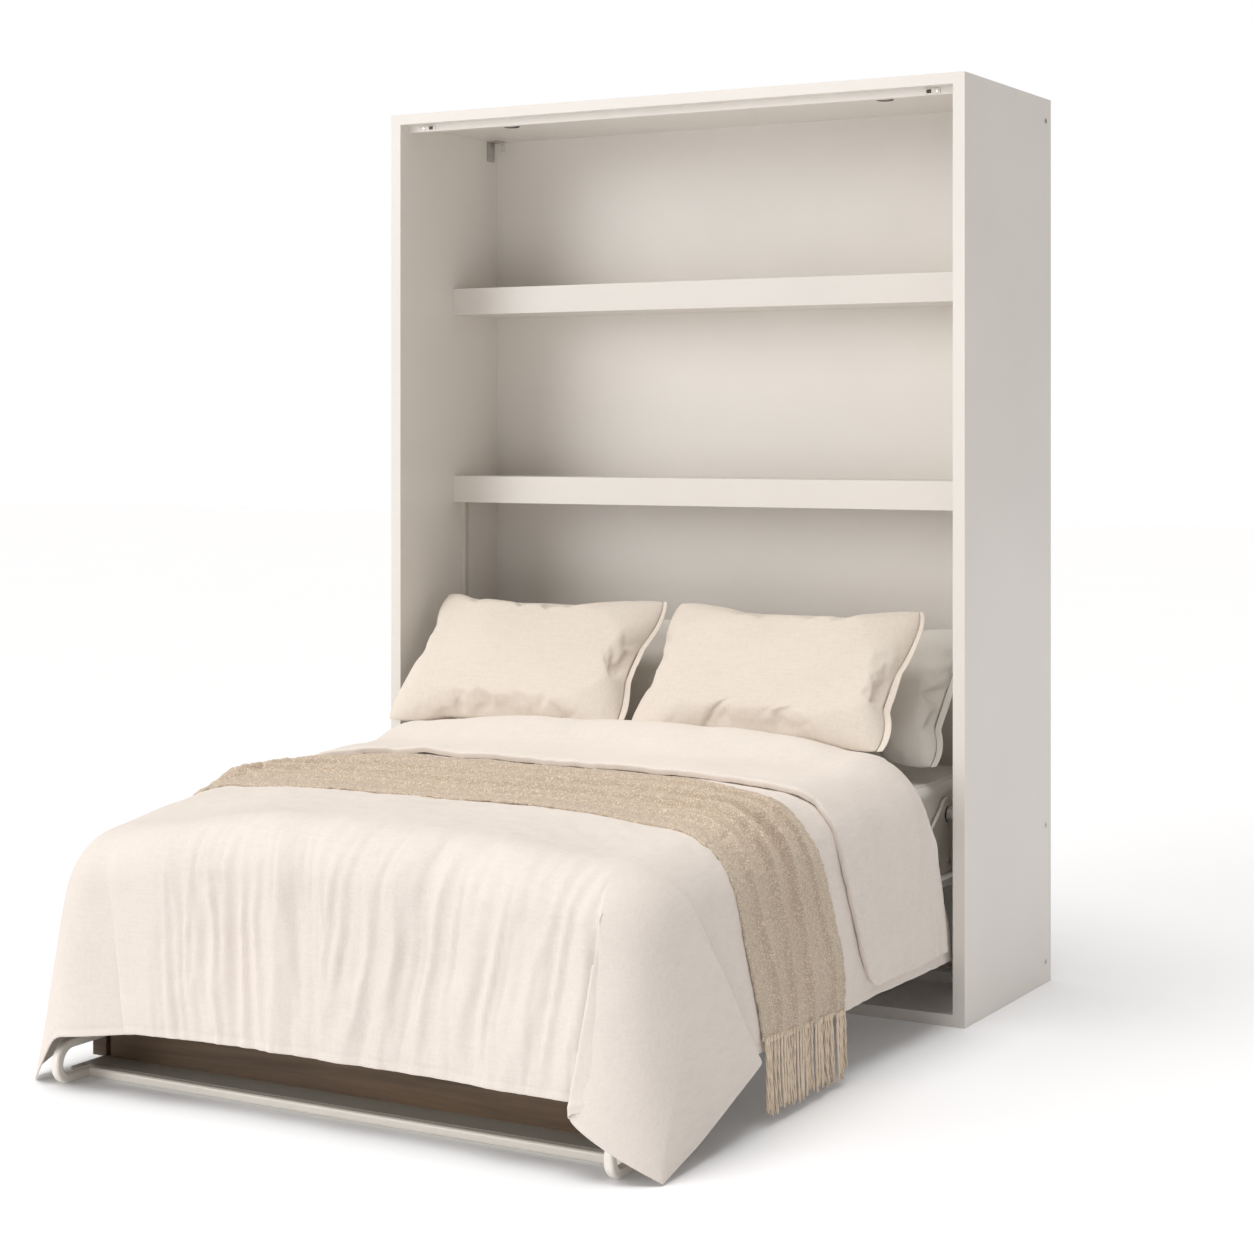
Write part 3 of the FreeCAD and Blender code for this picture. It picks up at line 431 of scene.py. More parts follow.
FLOOR_HALF, FLOOR_Z = 30.0, -0.0005
floor = new_object(
    "floor",
    [(sx * FLOOR_HALF, sy * FLOOR_HALF, FLOOR_Z) for sx, sy in ((-1, -1), (1, -1), (1, 1), (-1, 1))],
    [(0, 1, 2, 3)],
    False,
)
floor_nodes = Nodes("studio_floor")
floor_tones = [(0.3, (0.952, 0.96, 0.985)), (0.7, (0.96, 0.968, 0.99))]
floor_nodes.link(
    floor_nodes.ramp(floor_nodes.noise(floor_nodes.place(), 0.8), floor_tones),
    floor_nodes.shader.inputs["Base Color"],
)
floor_nodes.set(Roughness=0.6, Emission_Color=(1, 1, 1, 1), Emission_Strength=0.05)
floor.data.materials.append(floor_nodes.material)

# ---------------------------------------------------------------- the duvet's drape
# Flat cloth coordinates are in mm: u across the bed from its middle, b down the bed from the cabinet's
# front.
# Points in space are (x, y from the cabinet's front, z) in mm until to_metres().

EDGE_R = 130.0  # how softly the duvet turns over the mattress edge
LEAN = 0.075  # how far out the drop below it goes, for each mm of cloth
FALL = 0.995  # and how far down
TURN_U = 615.0  # where it starts to turn down at the sides
TURN_B = 1258.0  # and at the foot
CORNER_ARC = 236.0  # nominal length of the plan curve round a corner
HALF_U = 1140.0  # flat half width
HEM_B = 1812.0  # flat place of the foot hem
DROP_U = HALF_U - TURN_U
DROP_B = HEM_B - TURN_B
FOOT_HEM_Z = 138.0  # heights of the hems over the floor
SIDE_HEM_Z = 150.0
DUVET_TOP = 604.0  # height of the duvet on the mattress
HEAD_RISE = 14.0  # how much fuller it is towards the pillows
CREST = 62.0  # height of the ridge that the pillows press up
CREST_FADE = 32.0  # how much of the ridge is lost at the sides
DROOP_LEFT = 52.0  # how far the top falls away to the foot corners
DROOP_RIGHT = 30.0

# Each corner's loose cloth hangs in two folds with a tail between them. A key point of its hem has the
# place along the plan curve (0 to CORNER_ARC round the corner, less along the side, more along the foot),
# how far it stands out, and its height. The lengths are the hem's, from one key point to the next.
CORNERS = {
    1: {
        "flat_side": 1160.0, "flat_foot": 735.0,
        "side": [(-98, -12, 148), (-283, 10, 140), (107, 70, 3)], "side_len": [185, 470],
        "foot": [(107, 70, 3), (254, 44, 122), (122, 20, 138)], "foot_len": [253, 140],
    },
    -1: {
        "flat_side": 1190.0, "flat_foot": 503.0,
        "side": [(-68, -10, 150), (-170, 12, 140), (129, 60, 3)], "side_len": [120, 480],
        "foot": [(129, 60, 3), (192, 50, 112), (385, 4, 134), (346, 24, 128)], "foot_len": [175, 330, 60],
    },
}


def loft(x, y):
    """Height of the duvet's top at x and y: fuller towards the pillows, with a crest where they press, and
    falling away to the foot corners."""
    a = np.abs(x)
    z = DUVET_TOP + HEAD_RISE * smooth(-900, -420, y)
    z = z + np.exp(-(((y + 165) / 80.0) ** 2)) * (CREST - CREST_FADE * smooth(250, 720, a))
    z = z - 8 * smooth(350, 620, a)
    droop = np.where(x < 0, DROOP_LEFT, DROOP_RIGHT)
    return z - droop * smooth(-820, -1330, y) * smooth(150, 650, a)


def over_edge(path):
    """How far out and how far down a path of that length takes the cloth, over the edge and down the drop."""
    turn = np.clip(path, 0, EDGE_R * math.pi / 2)
    rest = np.clip(path - EDGE_R * math.pi / 2, 0, None)
    out = EDGE_R * np.sin(turn / EDGE_R) + LEAN * rest
    return out, EDGE_R * (1 - np.cos(turn / EDGE_R)) + FALL * rest


def in_plan(place, out):
    """x and y of a place along the plan curve, at a distance out from it."""
    phi = np.clip(place / CORNER_ARC, 0, 1) * math.pi / 2
    x = TURN_U + out * np.cos(phi) - np.clip(place - CORNER_ARC, 0, None)
    return x, -TURN_B - out * np.sin(phi) + np.clip(-place, 0, None)


def drape_side(a, b, side):
    """The drape of one half of the bed: a is the distance from the middle, side is 1 on the right."""
    corner = CORNERS[side]
    flat_side, flat_foot = corner["flat_side"], corner["flat_foot"]
    fall_b, fall_u = over_edge(np.array(DROP_B))[1], over_edge(np.array(DROP_U))[1]
    du, db = a - TURN_U, b - TURN_B
    beyond_side = db > (flat_side - TURN_B) / DROP_U * du
    beyond_foot = du > (flat_foot - TURN_U) / DROP_B * np.clip(db, 0, None)
    folded = beyond_side & beyond_foot & ((du > 0) | (db > 0))
    p, q = np.clip(du, 0, None), np.clip(db, 0, None)
    (out_s, fall_s), (out_f, fall_f) = over_edge(p), over_edge(q)
    out_s = out_s + corner["side"][0][1] * p / DROP_U * smooth(850, flat_side, b)
    out_f = out_f + corner["foot"][-1][1] * q / DROP_B * smooth(250, 490, a)
    place = CORNER_ARC + (TURN_U - a)
    if flat_foot > TURN_U:
        slope = (CORNER_ARC - corner["foot"][-1][0]) / (flat_foot - TURN_U)
        place = np.where(a < TURN_U, place, CORNER_ARC - slope * (a - TURN_U))
    foot_x, foot_y = in_plan(place, out_f)
    inner = side * np.minimum(a, TURN_U)
    top_f, top_s = loft(inner, -TURN_B + 0 * a), loft(inner, -b)
    foot_z = top_f - fall_f / fall_b * (top_f - FOOT_HEM_Z)
    side_z = top_s - fall_s / fall_u * (top_s - SIDE_HEM_Z)
    x = np.where(db > 0, foot_x, np.where(p > 0, TURN_U + out_s, a))
    y = np.where(db > 0, foot_y, -b)
    z = np.where(db > 0, foot_z, np.where(p > 0, side_z, loft(side * a, -b)))
    if folded.any():
        du, db = du[folded], db[folded]
        to_side = np.where(du > 1e-6, DROP_U / np.maximum(du, 1e-6), 1e9)
        to_foot = np.where(db > 1e-6, DROP_B / np.maximum(db, 1e-6), 1e9)
        ray = np.minimum(to_side, to_foot)
        depth = 1 / ray
        tip = HEM_B - flat_side
        total = tip + HALF_U - flat_foot
        round_side, round_foot = TURN_B + db * ray - flat_side, tip + HALF_U - TURN_U - du * ray
        hem = np.where(to_side <= to_foot, round_side, round_foot)
        side_knots = np.cumsum([0] + corner["side_len"]) / sum(corner["side_len"]) * tip
        foot_knots = np.cumsum(corner["foot_len"]) / sum(corner["foot_len"]) * (total - tip) + tip
        knots = np.concatenate([side_knots, foot_knots])
        keys = np.array(corner["side"] + corner["foot"][1:], float)
        at, stand, height = (np.interp(hem, knots, keys[:, i]) for i in range(3))
        place = (1 - depth) * np.interp(hem, [0, total], [0, CORNER_ARC]) + depth * at
        out, fall = over_edge(depth * DROP_B)
        x[folded], y[folded] = in_plan(place, out + stand * depth)
        top_c = float(loft(np.array(side * TURN_U), np.array(-TURN_B)))
        z[folded] = top_c - fall / fall_b * (top_c - height)
    return np.stack([side * x, y, z], -1)


def drape(u, b):
    """Points in space of the flat places (u, b), on both halves of the bed."""
    right = drape_side(np.abs(u), b, 1)
    left = drape_side(np.abs(u), b, -1)
    return np.where((u < 0)[..., None], left, right)


def to_metres(points):
    out = points * MM
    out[..., 1] += FRONT
    return out


def slip(a, begin, full, pull, hold, end, swing, ease=1.0, bend=1.0):
    """How far towards the foot an edge lies, at a distance a from the middle. It is pulled that way from
    begin to full, where it goes over the mattress's edge, and swings back from hold to its end."""
    over = np.clip((a - begin) / (full - begin), 0, 1) ** ease
    down = np.clip((a - hold) / (end - hold), 0, 1)
    return pull * over - swing * (1 - (1 - down) ** bend)


HEAD_B = -28.0  # flat place of the duvet's head edge in the middle


def head_edge(u):
    """Where the duvet's head edge lies: pulled down at the sides, beside the pillows."""
    return HEAD_B + slip(np.abs(u), begin=560, full=690, pull=156, hold=690, end=HALF_U, swing=164, bend=1.5)


CELL = 11.0  # of the drape's grid
COLS = int(round(2 * HALF_U / CELL)) + 1
ROWS = int(round((HEM_B - HEAD_B) / CELL)) + 1
grid_u = np.repeat(np.linspace(-HALF_U, HALF_U, COLS)[:, None], ROWS, 1)
grid_t = np.linspace(0, 1, ROWS)[None, :]
grid_b = head_edge(grid_u) * (1 - grid_t) + HEM_B * grid_t


def capped(start, end, most):
    """The end points, none further than most from its start."""
    move = end - start
    length = np.linalg.norm(move, axis=-1, keepdims=True)
    return start + move * np.minimum(1, most / np.maximum(length, 1e-9))


def kept_inside(points):
    """The points, kept clear of the side panels and the floor."""
    out = points.copy()
    out[..., 0] = np.clip(out[..., 0], -CLEAR_X, CLEAR_X)
    out[..., 2] = np.maximum(out[..., 2], GAP)
    return out


def fold_noise(x, y, seed):
    """Noise with narrow crests and broad hollows, as folds in cloth have."""
    return 1 - 2.4 * np.abs(lattice_noise(x, y, seed))


def broad_folds(u, b):
    """Soft folds down the sides and slow waves over the top, in metres."""
    a = np.abs(u)
    side = smooth(TURN_U + 60, TURN_U + 230, a) * (1 - smooth(TURN_B - 160, TURN_B + 40, b))
    side_wave = fold_noise(b / 118.0, a / 420.0, 13) + 0.5 * fold_noise(b / 47.0, a / 300.0, 14)
    top_wave = lattice_noise(u / 240.0, b / 190.0, 15) + 0.5 * lattice_noise(u / 95.0, b / 80.0, 16)
    return 0.0044 * side * side_wave + 0.0038 * top_wave


def in_corner(u, b):
    """1 in the folded cloth of the two foot corners, 0 elsewhere."""
    from_u = np.where(u < 0, CORNERS[-1]["flat_foot"], CORNERS[1]["flat_foot"])
    from_b = np.where(u < 0, CORNERS[-1]["flat_side"], CORNERS[1]["flat_side"])
    return smooth(from_u - 110, from_u - 50, np.abs(u)) * smooth(from_b - 90, from_b - 30, b)


def foot_folds(u, b):
    """The many narrow folds that hang down the foot, and a faint crumple all over, in metres."""
    to_hem = 1 - 0.3 * smooth(HEM_B - 150, HEM_B, b)
    foot = smooth(TURN_B - 40, TURN_B + 250, b) * to_hem
    more_left = 0.7 + 0.3 * smooth(250, -420, u)
    bend = u + 0.10 * (b - TURN_B) * np.sign(u) + 9 * lattice_noise(u / 160.0, b / 120.0, 20)
    wave = (0.75 * fold_noise(bend / 84.0, b / 700.0, 11) + 0.8 * fold_noise(bend / 38.0, b / 400.0, 12)
            + 0.4 * fold_noise(bend / 18.0, b / 200.0, 18))
    fold_from = np.where(u < 0, CORNERS[-1]["flat_foot"], CORNERS[1]["flat_foot"])
    inner = smooth(fold_from - 20, fold_from - 150, np.abs(u))
    fine = lattice_noise(u / 34.0, b / 30.0, 17) + 0.7 * lattice_noise(u / 15.0, b / 24.0, 19)
    return 0.0080 * foot * more_left * inner * wave + 0.0009 * fine * (1 - in_corner(u, b))


def make_drape():
    """The draped surface on its grid, smoothed, with its broad folds, in metres."""
    points = kept_inside(to_metres(smooth_grid(drape(grid_u, grid_b), 9)))
    return kept_inside(points + normals_of(points) * broad_folds(grid_u, grid_b)[..., None])


surface = make_drape()
surface_normals = normals_of(smooth_grid(surface, 4))


def cubic(values, at):
    """Catmull-Rom places and weights along one axis."""
    at = np.clip(at, 0, values - 1.0001)
    i = np.floor(at).astype(int)
    f = at - i
    weights = (
        -0.5 * f**3 + f**2 - 0.5 * f, 1.5 * f**3 - 2.5 * f**2 + 1,
        -1.5 * f**3 + 2 * f**2 + 0.5 * f, 0.5 * f**3 - 0.5 * f**2,
    )
    return [(np.clip(i + k - 1, 0, values - 1), w) for k, w in enumerate(weights)]


def on_surface(u, b, lift=0.0):
    """Points on the draped surface at flat places (u, b), lifted along its normal, in metres."""
    u, b = np.broadcast_arrays(np.asarray(u, float), np.asarray(b, float))
    head = head_edge(u)
    at_i = (u + HALF_U) / (2 * HALF_U) * (COLS - 1)
    at_j = (b - head) / (HEM_B - head) * (ROWS - 1)
    point, normal = np.zeros(u.shape + (3,)), np.zeros(u.shape + (3,))
    for i, wi in cubic(COLS, at_i):
        for j, wj in cubic(ROWS, at_j):
            point += (wi * wj)[..., None] * surface[i, j]
            normal += (wi * wj)[..., None] * surface_normals[i, j]
    normal /= np.maximum(np.linalg.norm(normal, axis=-1, keepdims=True), 1e-9)
    return point + normal * np.asarray(lift)[..., None]


def with_edges(length, cell, offsets):
    """Places along a length: even ones inside, and closer ones near both ends for a hem."""
    count = max(3, int(round((length - 2 * offsets[-1]) / cell)))
    inside = np.linspace(offsets[-1], length - offsets[-1], count)
    return np.concatenate([offsets[:-1], inside, length - np.array(offsets[:-1])[::-1]])


HEM_AT = [0.0, 4.0, 9.0, 14.0, 18.0, 22.0, 27.0, 36.0]
FINE_CELL = 6.5
DUVET_LENGTH = 1840.0
DUVET_THICK = 0.012
CORNER_THICK_SHARE = 0.3  # the corners' cloth is pressed thinner
CORNER_TUCK = 0.003  # and stays this much further inside


def hem_dip(distance, at=18.0, width=4.5, depth=0.0016):
    """The dip of a hem's row of stitches, at that distance from the edge."""
    return -depth * np.exp(-(((distance - at) / width) ** 2))


def cloth_piece(name, points, thick, material, levels=1):
    """A sheet of cloth from a grid of points, with its thickness."""
    obj = grid_object(name, points)
    solid = obj.modifiers.new("thickness", "SOLIDIFY")
    solid.thickness = thick
    solid.offset = -1
    rounded = obj.modifiers.new("round", "SUBSURF")
    rounded.levels = rounded.render_levels = levels
    obj.data.materials.append(material)
    return obj


def duvet():
    """The duvet's main layer, with a stitched hem all round."""
    us = with_edges(2 * HALF_U, FINE_CELL, HEM_AT)
    ts = with_edges(DUVET_LENGTH, FINE_CELL, HEM_AT)
    u = np.repeat((us - HALF_U)[:, None], len(ts), 1)
    t = np.repeat(ts[None, :], len(us), 0)
    head = head_edge(u)
    b = head + (HEM_B - head) * t / DUVET_LENGTH
    from_side = np.minimum(us, 2 * HALF_U - us)[:, None]
    from_end = np.minimum(ts, DUVET_LENGTH - ts)[None, :]
    edge = np.minimum(from_side, from_end)
    points = kept_inside(on_surface(u, b, hem_dip(edge) + foot_folds(u, b)))
    limit = CLEAR_X - CORNER_TUCK * in_corner(u, b)
    points[..., 0] = np.clip(points[..., 0], -limit, limit)
    obj = cloth_piece("duvet_cover", points, DUVET_THICK, mat["linen"], 0)
    full = obj.vertex_groups.new(name="full_thickness")
    weights = 1 - in_corner(u, b).ravel()
    for index in np.nonzero(weights > 0.0)[0]:
        full.add([int(index)], float(weights[index]), "REPLACE")
    obj.modifiers["thickness"].vertex_group = full.name
    obj.modifiers["thickness"].thickness_vertex_group = CORNER_THICK_SHARE
    return obj


BAND_HALF = 1114.0  # flat half width of the folded-back band
BAND_CELL = 11.0
BAND_ROWS = 60
BAND_THICK = 0.0145
BAND_HEM_AT = [0.0, 4.0, 9.0, 13.0, 17.0, 21.0, 26.0, 33.0]


def band_front(u):
    """Where the band's front edge lies: straight across the top, further down the bed over both edges."""
    right = slip(u, begin=0, full=650, pull=72, hold=795, end=BAND_HALF, swing=145, ease=1.9, bend=0.6)
    left = slip(-u, begin=480, full=645, pull=62, hold=800, end=HALF_U, swing=112)
    return 482 + np.where(u > 0, right, left)


def band_rear(u):
    """Where the band's fold lies, just below the duvet's head edge."""
    return -20 + slip(np.abs(u), begin=560, full=680, pull=166, hold=680, end=BAND_HALF, swing=142, bend=1.8)


def turndown():
    """The duvet's folded-back head: a second layer on it, with a piped front edge and small gathers."""
    us = with_edges(2 * BAND_HALF, BAND_CELL, HEM_AT)
    u = np.repeat((us - BAND_HALF)[:, None], BAND_ROWS, 1)
    edge_b = np.array(BAND_HEM_AT)
    front, rear = band_front(u[:, 0]), band_rear(u[:, 0])
    width = (front - rear)[:, None]
    inside = np.linspace(0, 1, BAND_ROWS - 2 * len(edge_b) + 2)[1:-1][None, :]
    low = np.repeat(edge_b[None, :], len(us), 0)
    middle = edge_b[-1] + inside * (width - 2 * edge_b[-1])
    t = np.concatenate([low, middle, width - low[:, ::-1]], 1)
    b = rear[:, None] + t
    from_front = width - t
    from_side = np.minimum(us, 2 * BAND_HALF - us)[:, None]
    lift = 0.0150 + 0.0022 * lattice_noise(u / 120.0, b / 90.0, 21)
    lift = lift + 0.0012 * lattice_noise(u / 42.0, b / 60.0, 22)
    lift = lift + hem_dip(from_front, 17.0, 3.5, 0.0022) + hem_dip(from_side, 17.0, 3.5, 0.0016)
    gathers = np.exp(-((from_front / 75.0) ** 2)) * lattice_noise(u / 26.0, b / 300.0, 23)
    piped_edge = 0.003 * np.exp(-((from_front / 28.0) ** 2)) - 0.004 * np.exp(-((from_front / 7.0) ** 2))
    lift = lift + 0.0024 * gathers + piped_edge
    side_folds = smooth(690, 860, np.abs(u)) * (fold_noise(b / 92.0 + u / 420.0, u / 420.0, 24)
                                                + 0.5 * fold_noise(b / 38.0, u / 260.0, 25))
    lift = lift + 0.0056 * side_folds * smooth(0, 60, from_front)
    points = kept_inside(on_surface(u, b, lift))
    return cloth_piece("duvet_turned_back", points, BAND_THICK, mat["linen"])


THROW_LEFT = -1090.0  # flat places of the throw's ends
THROW_RIGHT = 1114.0
THROW_SKEW = 20.0  # its right end is this much longer on the head side
THROW_ASKEW = 0.08  # how far its foot side runs down the bed, per mm across it
THROW_ROWS, THROW_COLS = 170, 690
THROW_THICK = 0.005
THROW_CURL_SPAN = 400.0  # scale of the curl along the long edges
THROW_FOLDS = (  # share of its width, width and height in metres of each long fold
    (0.20, 0.05, 0.018), (0.45, 0.06, 0.031), (0.66, 0.055, 0.032), (0.86, 0.045, 0.020),
)


def throw_head_side(u):
    """Where the throw's long edge nearer the pillows lies."""
    right = slip(u, begin=100, full=690, pull=154, hold=745, end=THROW_RIGHT, swing=78, ease=2.0, bend=1.6)
    left = slip(-u, begin=485, full=640, pull=70, hold=640, end=HALF_U, swing=52, bend=0.8)
    return 502 + np.where(u > 0, right, left)


def throw_foot_side(u):
    """Where the throw's other long edge lies."""
    right = slip(u, begin=575, full=670, pull=36, hold=770, end=THROW_RIGHT, swing=98, bend=1.3)
    left = slip(-u, begin=615, full=660, pull=48, hold=660, end=HALF_U, swing=85, bend=0.8)
    return 937 + THROW_ASKEW * np.clip(u + 100, 0, None) + np.where(u > 0, right, left)


def throw_lift(u, t):
    """Height of the throw over the duvet: long folds, each steep on its foot side."""
    lift = 0.0075 + 0.0025 * lattice_noise(u / 150.0, t * 4.0, 31)
    for centre, width, height in THROW_FOLDS:
        wander = centre + 0.035 * lattice_noise(u / 330.0, centre * 9.0 + 0 * t, 32)
        wander = wander - 0.03 * smooth(200, 700, u)
        behind = np.exp(-(((t - wander) / (width * 1.3)) ** 2))
        before = np.exp(-(((t - wander) / (width * 0.2)) ** 2))
        strength = 0.62 + 0.42 * smooth(250, 800, u)
        strength = strength + 0.25 * lattice_noise(u / 260.0, centre * 7.0 + 0 * t, 33)
        room = 1 - 0.5 * smooth(700, 800, u)
        lift = lift + height * strength * room * np.where(t < wander, behind, before)
    return lift


def edge_curl(edge):
    """The throw's long edges curl down a little."""
    drop = np.zeros(edge.shape + (3,))
    drop[..., 2] = -0.0035 * np.exp(-((edge / 9.0) ** 2))
    return drop


def throw():
    """The throw across the bed, with a nubby pile, and the points of its surface."""
    s = np.linspace(0, 1, THROW_COLS)[:, None]
    t = np.linspace(0, 1, THROW_ROWS)[None, :]
    end = THROW_RIGHT + THROW_SKEW * (1 - t)
    u = THROW_LEFT + (end - THROW_LEFT) * s
    head, foot = throw_head_side(u), throw_foot_side(u)
    b = head + (foot - head) * t
    pile = 0.0018 * lattice_noise(u / 7.5, b / 7.0, 34) + 0.0009 * lattice_noise(u / 4.4, b / 4.4, 35)
    points = on_surface(u, b, throw_lift(u, t) + pile)
    points = kept_inside(points + edge_curl(np.minimum(t, 1 - t) * THROW_CURL_SPAN))
    return cloth_piece("throw_blanket", points, THROW_THICK, mat["throw_chenille"], 0), points


def tube(points, radii, sides=7):
    """Vertices and faces of a tube along a line of points, closed at both ends."""
    points = np.asarray(points, float)
    along = np.gradient(points, axis=0)
    along /= np.linalg.norm(along, axis=1, keepdims=True)
    across = np.cross(along, [0.3, 0.9, 0.1])
    across /= np.linalg.norm(across, axis=1, keepdims=True)
    other = np.cross(along, across)
    angles = np.linspace(0, 2 * math.pi, sides, endpoint=False)
    cos, sin = np.cos(angles)[None, :, None], np.sin(angles)[None, :, None]
    spokes = cos * across[:, None] + sin * other[:, None]
    rings = points[:, None] + np.asarray(radii)[:, None, None] * spokes
    faces = [
        (r * sides + i, r * sides + (i + 1) % sides, (r + 1) * sides + (i + 1) % sides, (r + 1) * sides + i)
        for r in range(len(points) - 1) for i in range(sides)
    ]
    faces += [tuple(range(sides))[::-1], tuple((len(points) - 1) * sides + i for i in range(sides))]
    return rings.reshape(-1, 3), faces


def joined(name, parts, material):
    """One object from a list of (vertices, faces)."""
    verts, faces, base = [], [], 0
    for part_verts, part_faces in parts:
        verts.append(np.asarray(part_verts))
        faces += [tuple(i + base for i in face) for face in part_faces]
        base += len(part_verts)
    obj = new_object(name, np.concatenate(verts), faces)
    obj.data.materials.append(material)
    return obj


TASSELS = 32
YARNS = (0.0, 2.1, 4.2)  # the angle at which each of a tassel's yarns starts
YARN_R = 0.0021
TWIST_R = 0.0022
FRINGE_SEED = 77


def fringe(edge_points):
    """Twisted tassels along the throw's woven end, each of three yarns that hang and spread a little."""
    rng = np.random.default_rng(FRINGE_SEED)
    parts = []
    for k in range(TASSELS):
        at = (k + 0.5) / TASSELS * (len(edge_points) - 1)
        i = int(at)
        top = edge_points[i] + (edge_points[min(i + 1, len(edge_points) - 1)] - edge_points[i]) * (at - i)
        length = top[2] - rng.uniform(0.012, 0.034)
        sway = rng.normal(0, 0.0022, 2)
        steps = np.linspace(0, 1, 22)
        for yarn in YARNS:
            turn = yarn + steps * 9.0 + rng.uniform(0, 1)
            radius = TWIST_R * np.clip(steps * 9, 0.3, 1) * (1 + 0.5 * smooth(0.8, 1.0, steps))
            wave_x, wave_y = 0.0010 * np.sin(steps * 5 + k), 0.0010 * np.cos(steps * 4 + k * 2)
            line = np.stack([
                top[0] + 0.001 + sway[0] * steps**2 * 0.4 + radius * np.cos(turn) + wave_x,
                top[1] + (sway[1] + 0.01) * steps**1.5 + radius * np.sin(turn) + wave_y,
                top[2] + 0.006 - (length + 0.006) * steps,
            ], -1)
            line[:, 0] = np.minimum(line[:, 0], CLEAR_X - 0.0022)
            parts.append(tube(line, YARN_R * (1 - 0.45 * smooth(0.9, 1.0, steps))))
        knot = np.linspace(0, 1, 5)
        knot_x = min(top[0] + 0.001, CLEAR_X - 0.004)
        knot_line = np.stack([knot_x + 0 * knot, top[1] + 0 * knot, top[2] + 0.004 - 0.012 * knot], -1)
        parts.append(tube(knot_line, 0.0042 * np.sin(math.pi * (0.18 + 0.64 * knot)), 8))
    return joined("throw_tassels", parts, mat["fringe"])


# ---------------------------------------------------------------- pillows


PILLOW_TILT = 48.0  # degrees up from lying flat
PILLOW_LENGTH, PILLOW_WIDTH = 0.70, 0.425
PILLOW_FILL = 0.062  # how far each side stands out before it is blown up
MOST_SWELL = 0.05  # the most that a point moves as it is blown up
FLANGE = 0.017
FLANGE_AT = (0.0, 0.12, 0.3, 0.62, 1.0)
FLANGE_HALF_THICK = (0.001, 0.0026, 0.0022, 0.0022, 0.0016)


def pillowcase(seed):
    """Two sides of cloth joined at their edges: points, faces and the grid of the front's points."""
    nx, ny = ((80, 50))
    flat_l, flat_w = PILLOW_LENGTH * 1.045 - FLANGE, PILLOW_WIDTH * 1.085
    x = np.linspace(-0.5, 0.5, nx)[:, None] * flat_l + np.zeros((1, ny))
    y = np.linspace(-0.5, 0.5, ny)[None, :] * flat_w + np.zeros((nx, 1))
    a, b = np.abs(2 * x / flat_l), np.abs(2 * y / flat_w)
    dome = PILLOW_FILL * ((1 - a**2.6) * (1 - b**2.4)) ** 0.55
    dome = dome * (1 + 0.09 * lattice_noise(x * 9 + seed, y * 9, seed))
    y = y * (1 + 0.035 * (1 - a**2) * b**2)
    x = x * (1 + 0.015 * (1 - b**2) * a**2)
    blunt = 1 - 0.045 * (a * b) ** 5
    x, y = x * blunt, y * blunt
    ids = np.arange(nx * ny).reshape(nx, ny)
    inner = np.zeros((nx, ny), bool)
    inner[1:-1, 1:-1] = True
    back_ids = ids.copy()
    back_ids[inner] = nx * ny + np.arange(inner.sum())
    front = np.stack([x, y, dome], -1).reshape(-1, 3)
    back = np.stack([x[inner], y[inner], -dome[inner]], -1)
    faces = []
    for i in range(nx - 1):
        for j in range(ny - 1):
            faces.append((ids[i, j], ids[i + 1, j], ids[i + 1, j + 1], ids[i, j + 1]))
            faces.append((back_ids[i, j], back_ids[i, j + 1], back_ids[i + 1, j + 1], back_ids[i + 1, j]))
    return np.concatenate([front, back]), faces, ids


def puckered(points, seed):
    """The pillow's points, drawn into small puckers along its two long seams."""
    x, y, z = points.T
    low = y.min()
    puckers = lattice_noise(x / 0.013, y / 0.12, 70 + seed)
    puckers = puckers + 0.6 * lattice_noise(x / 0.029, y / 0.2, 71 + seed)
    near = np.exp(-(((y - low) / 0.06) ** 2)) + 0.3 * np.exp(-(((y + low) / 0.04) ** 2))
    lifted = z + np.sign(z) * 0.0030 * puckers * near * smooth(0.0, 0.02, np.abs(z))
    return np.stack([x, y, lifted], -1)


def flange_band(points, ids, seed):
    """The flat stitched band beyond the seam at the open end: points and faces that follow the pillow's."""
    ny = ids.shape[1]
    seam = points[ids[-1, :]]
    outward = seam - points[ids[-2, :]]
    outward[:, 2] = 0
    outward = outward / np.maximum(np.linalg.norm(outward, axis=1, keepdims=True), 1e-9)
    outward = 0.35 * outward + 0.65 * np.array([1.0, 0, 0])
    taper = 1 - 0.35 * smooth(0.55, 1.0, np.linspace(0, 1, ny))
    ripple = lattice_noise(np.linspace(0, 5, ny), np.full(ny, seed * 1.0), 50 + seed)
    layers = []
    for share in FLANGE_AT:
        row = seam + outward * (FLANGE * share * taper)[:, None]
        row[:, 2] += 0.006 * share * ripple
        layers.append(row)
    front, back = np.stack(layers), np.stack(layers)
    front[..., 2] += np.array(FLANGE_HALF_THICK)[:, None]
    back[..., 2] -= np.array(FLANGE_HALF_THICK)[:, None]
    base, count, last = len(points), len(layers) * ny, len(layers) - 1
    faces = []
    for k in range(last):
        for j in range(ny - 1):
            p, q = base + k * ny + j, base + (k + 1) * ny + j
            faces.append((p, q, q + 1, p + 1))
            faces.append((p + count, p + 1 + count, q + 1 + count, q + count))
    rim = [base + k * ny for k in range(last + 1)] + [base + last * ny + j for j in range(1, ny)]
    rim += [base + k * ny + ny - 1 for k in range(last - 1, -1, -1)]
    rim += [base + j for j in range(ny - 2, 0, -1)]
    faces += [(p, p + count, q + count, q) for p, q in zip(rim, rim[1:] + rim[:1])]
    return np.concatenate([front.reshape(-1, 3), back.reshape(-1, 3)]), faces


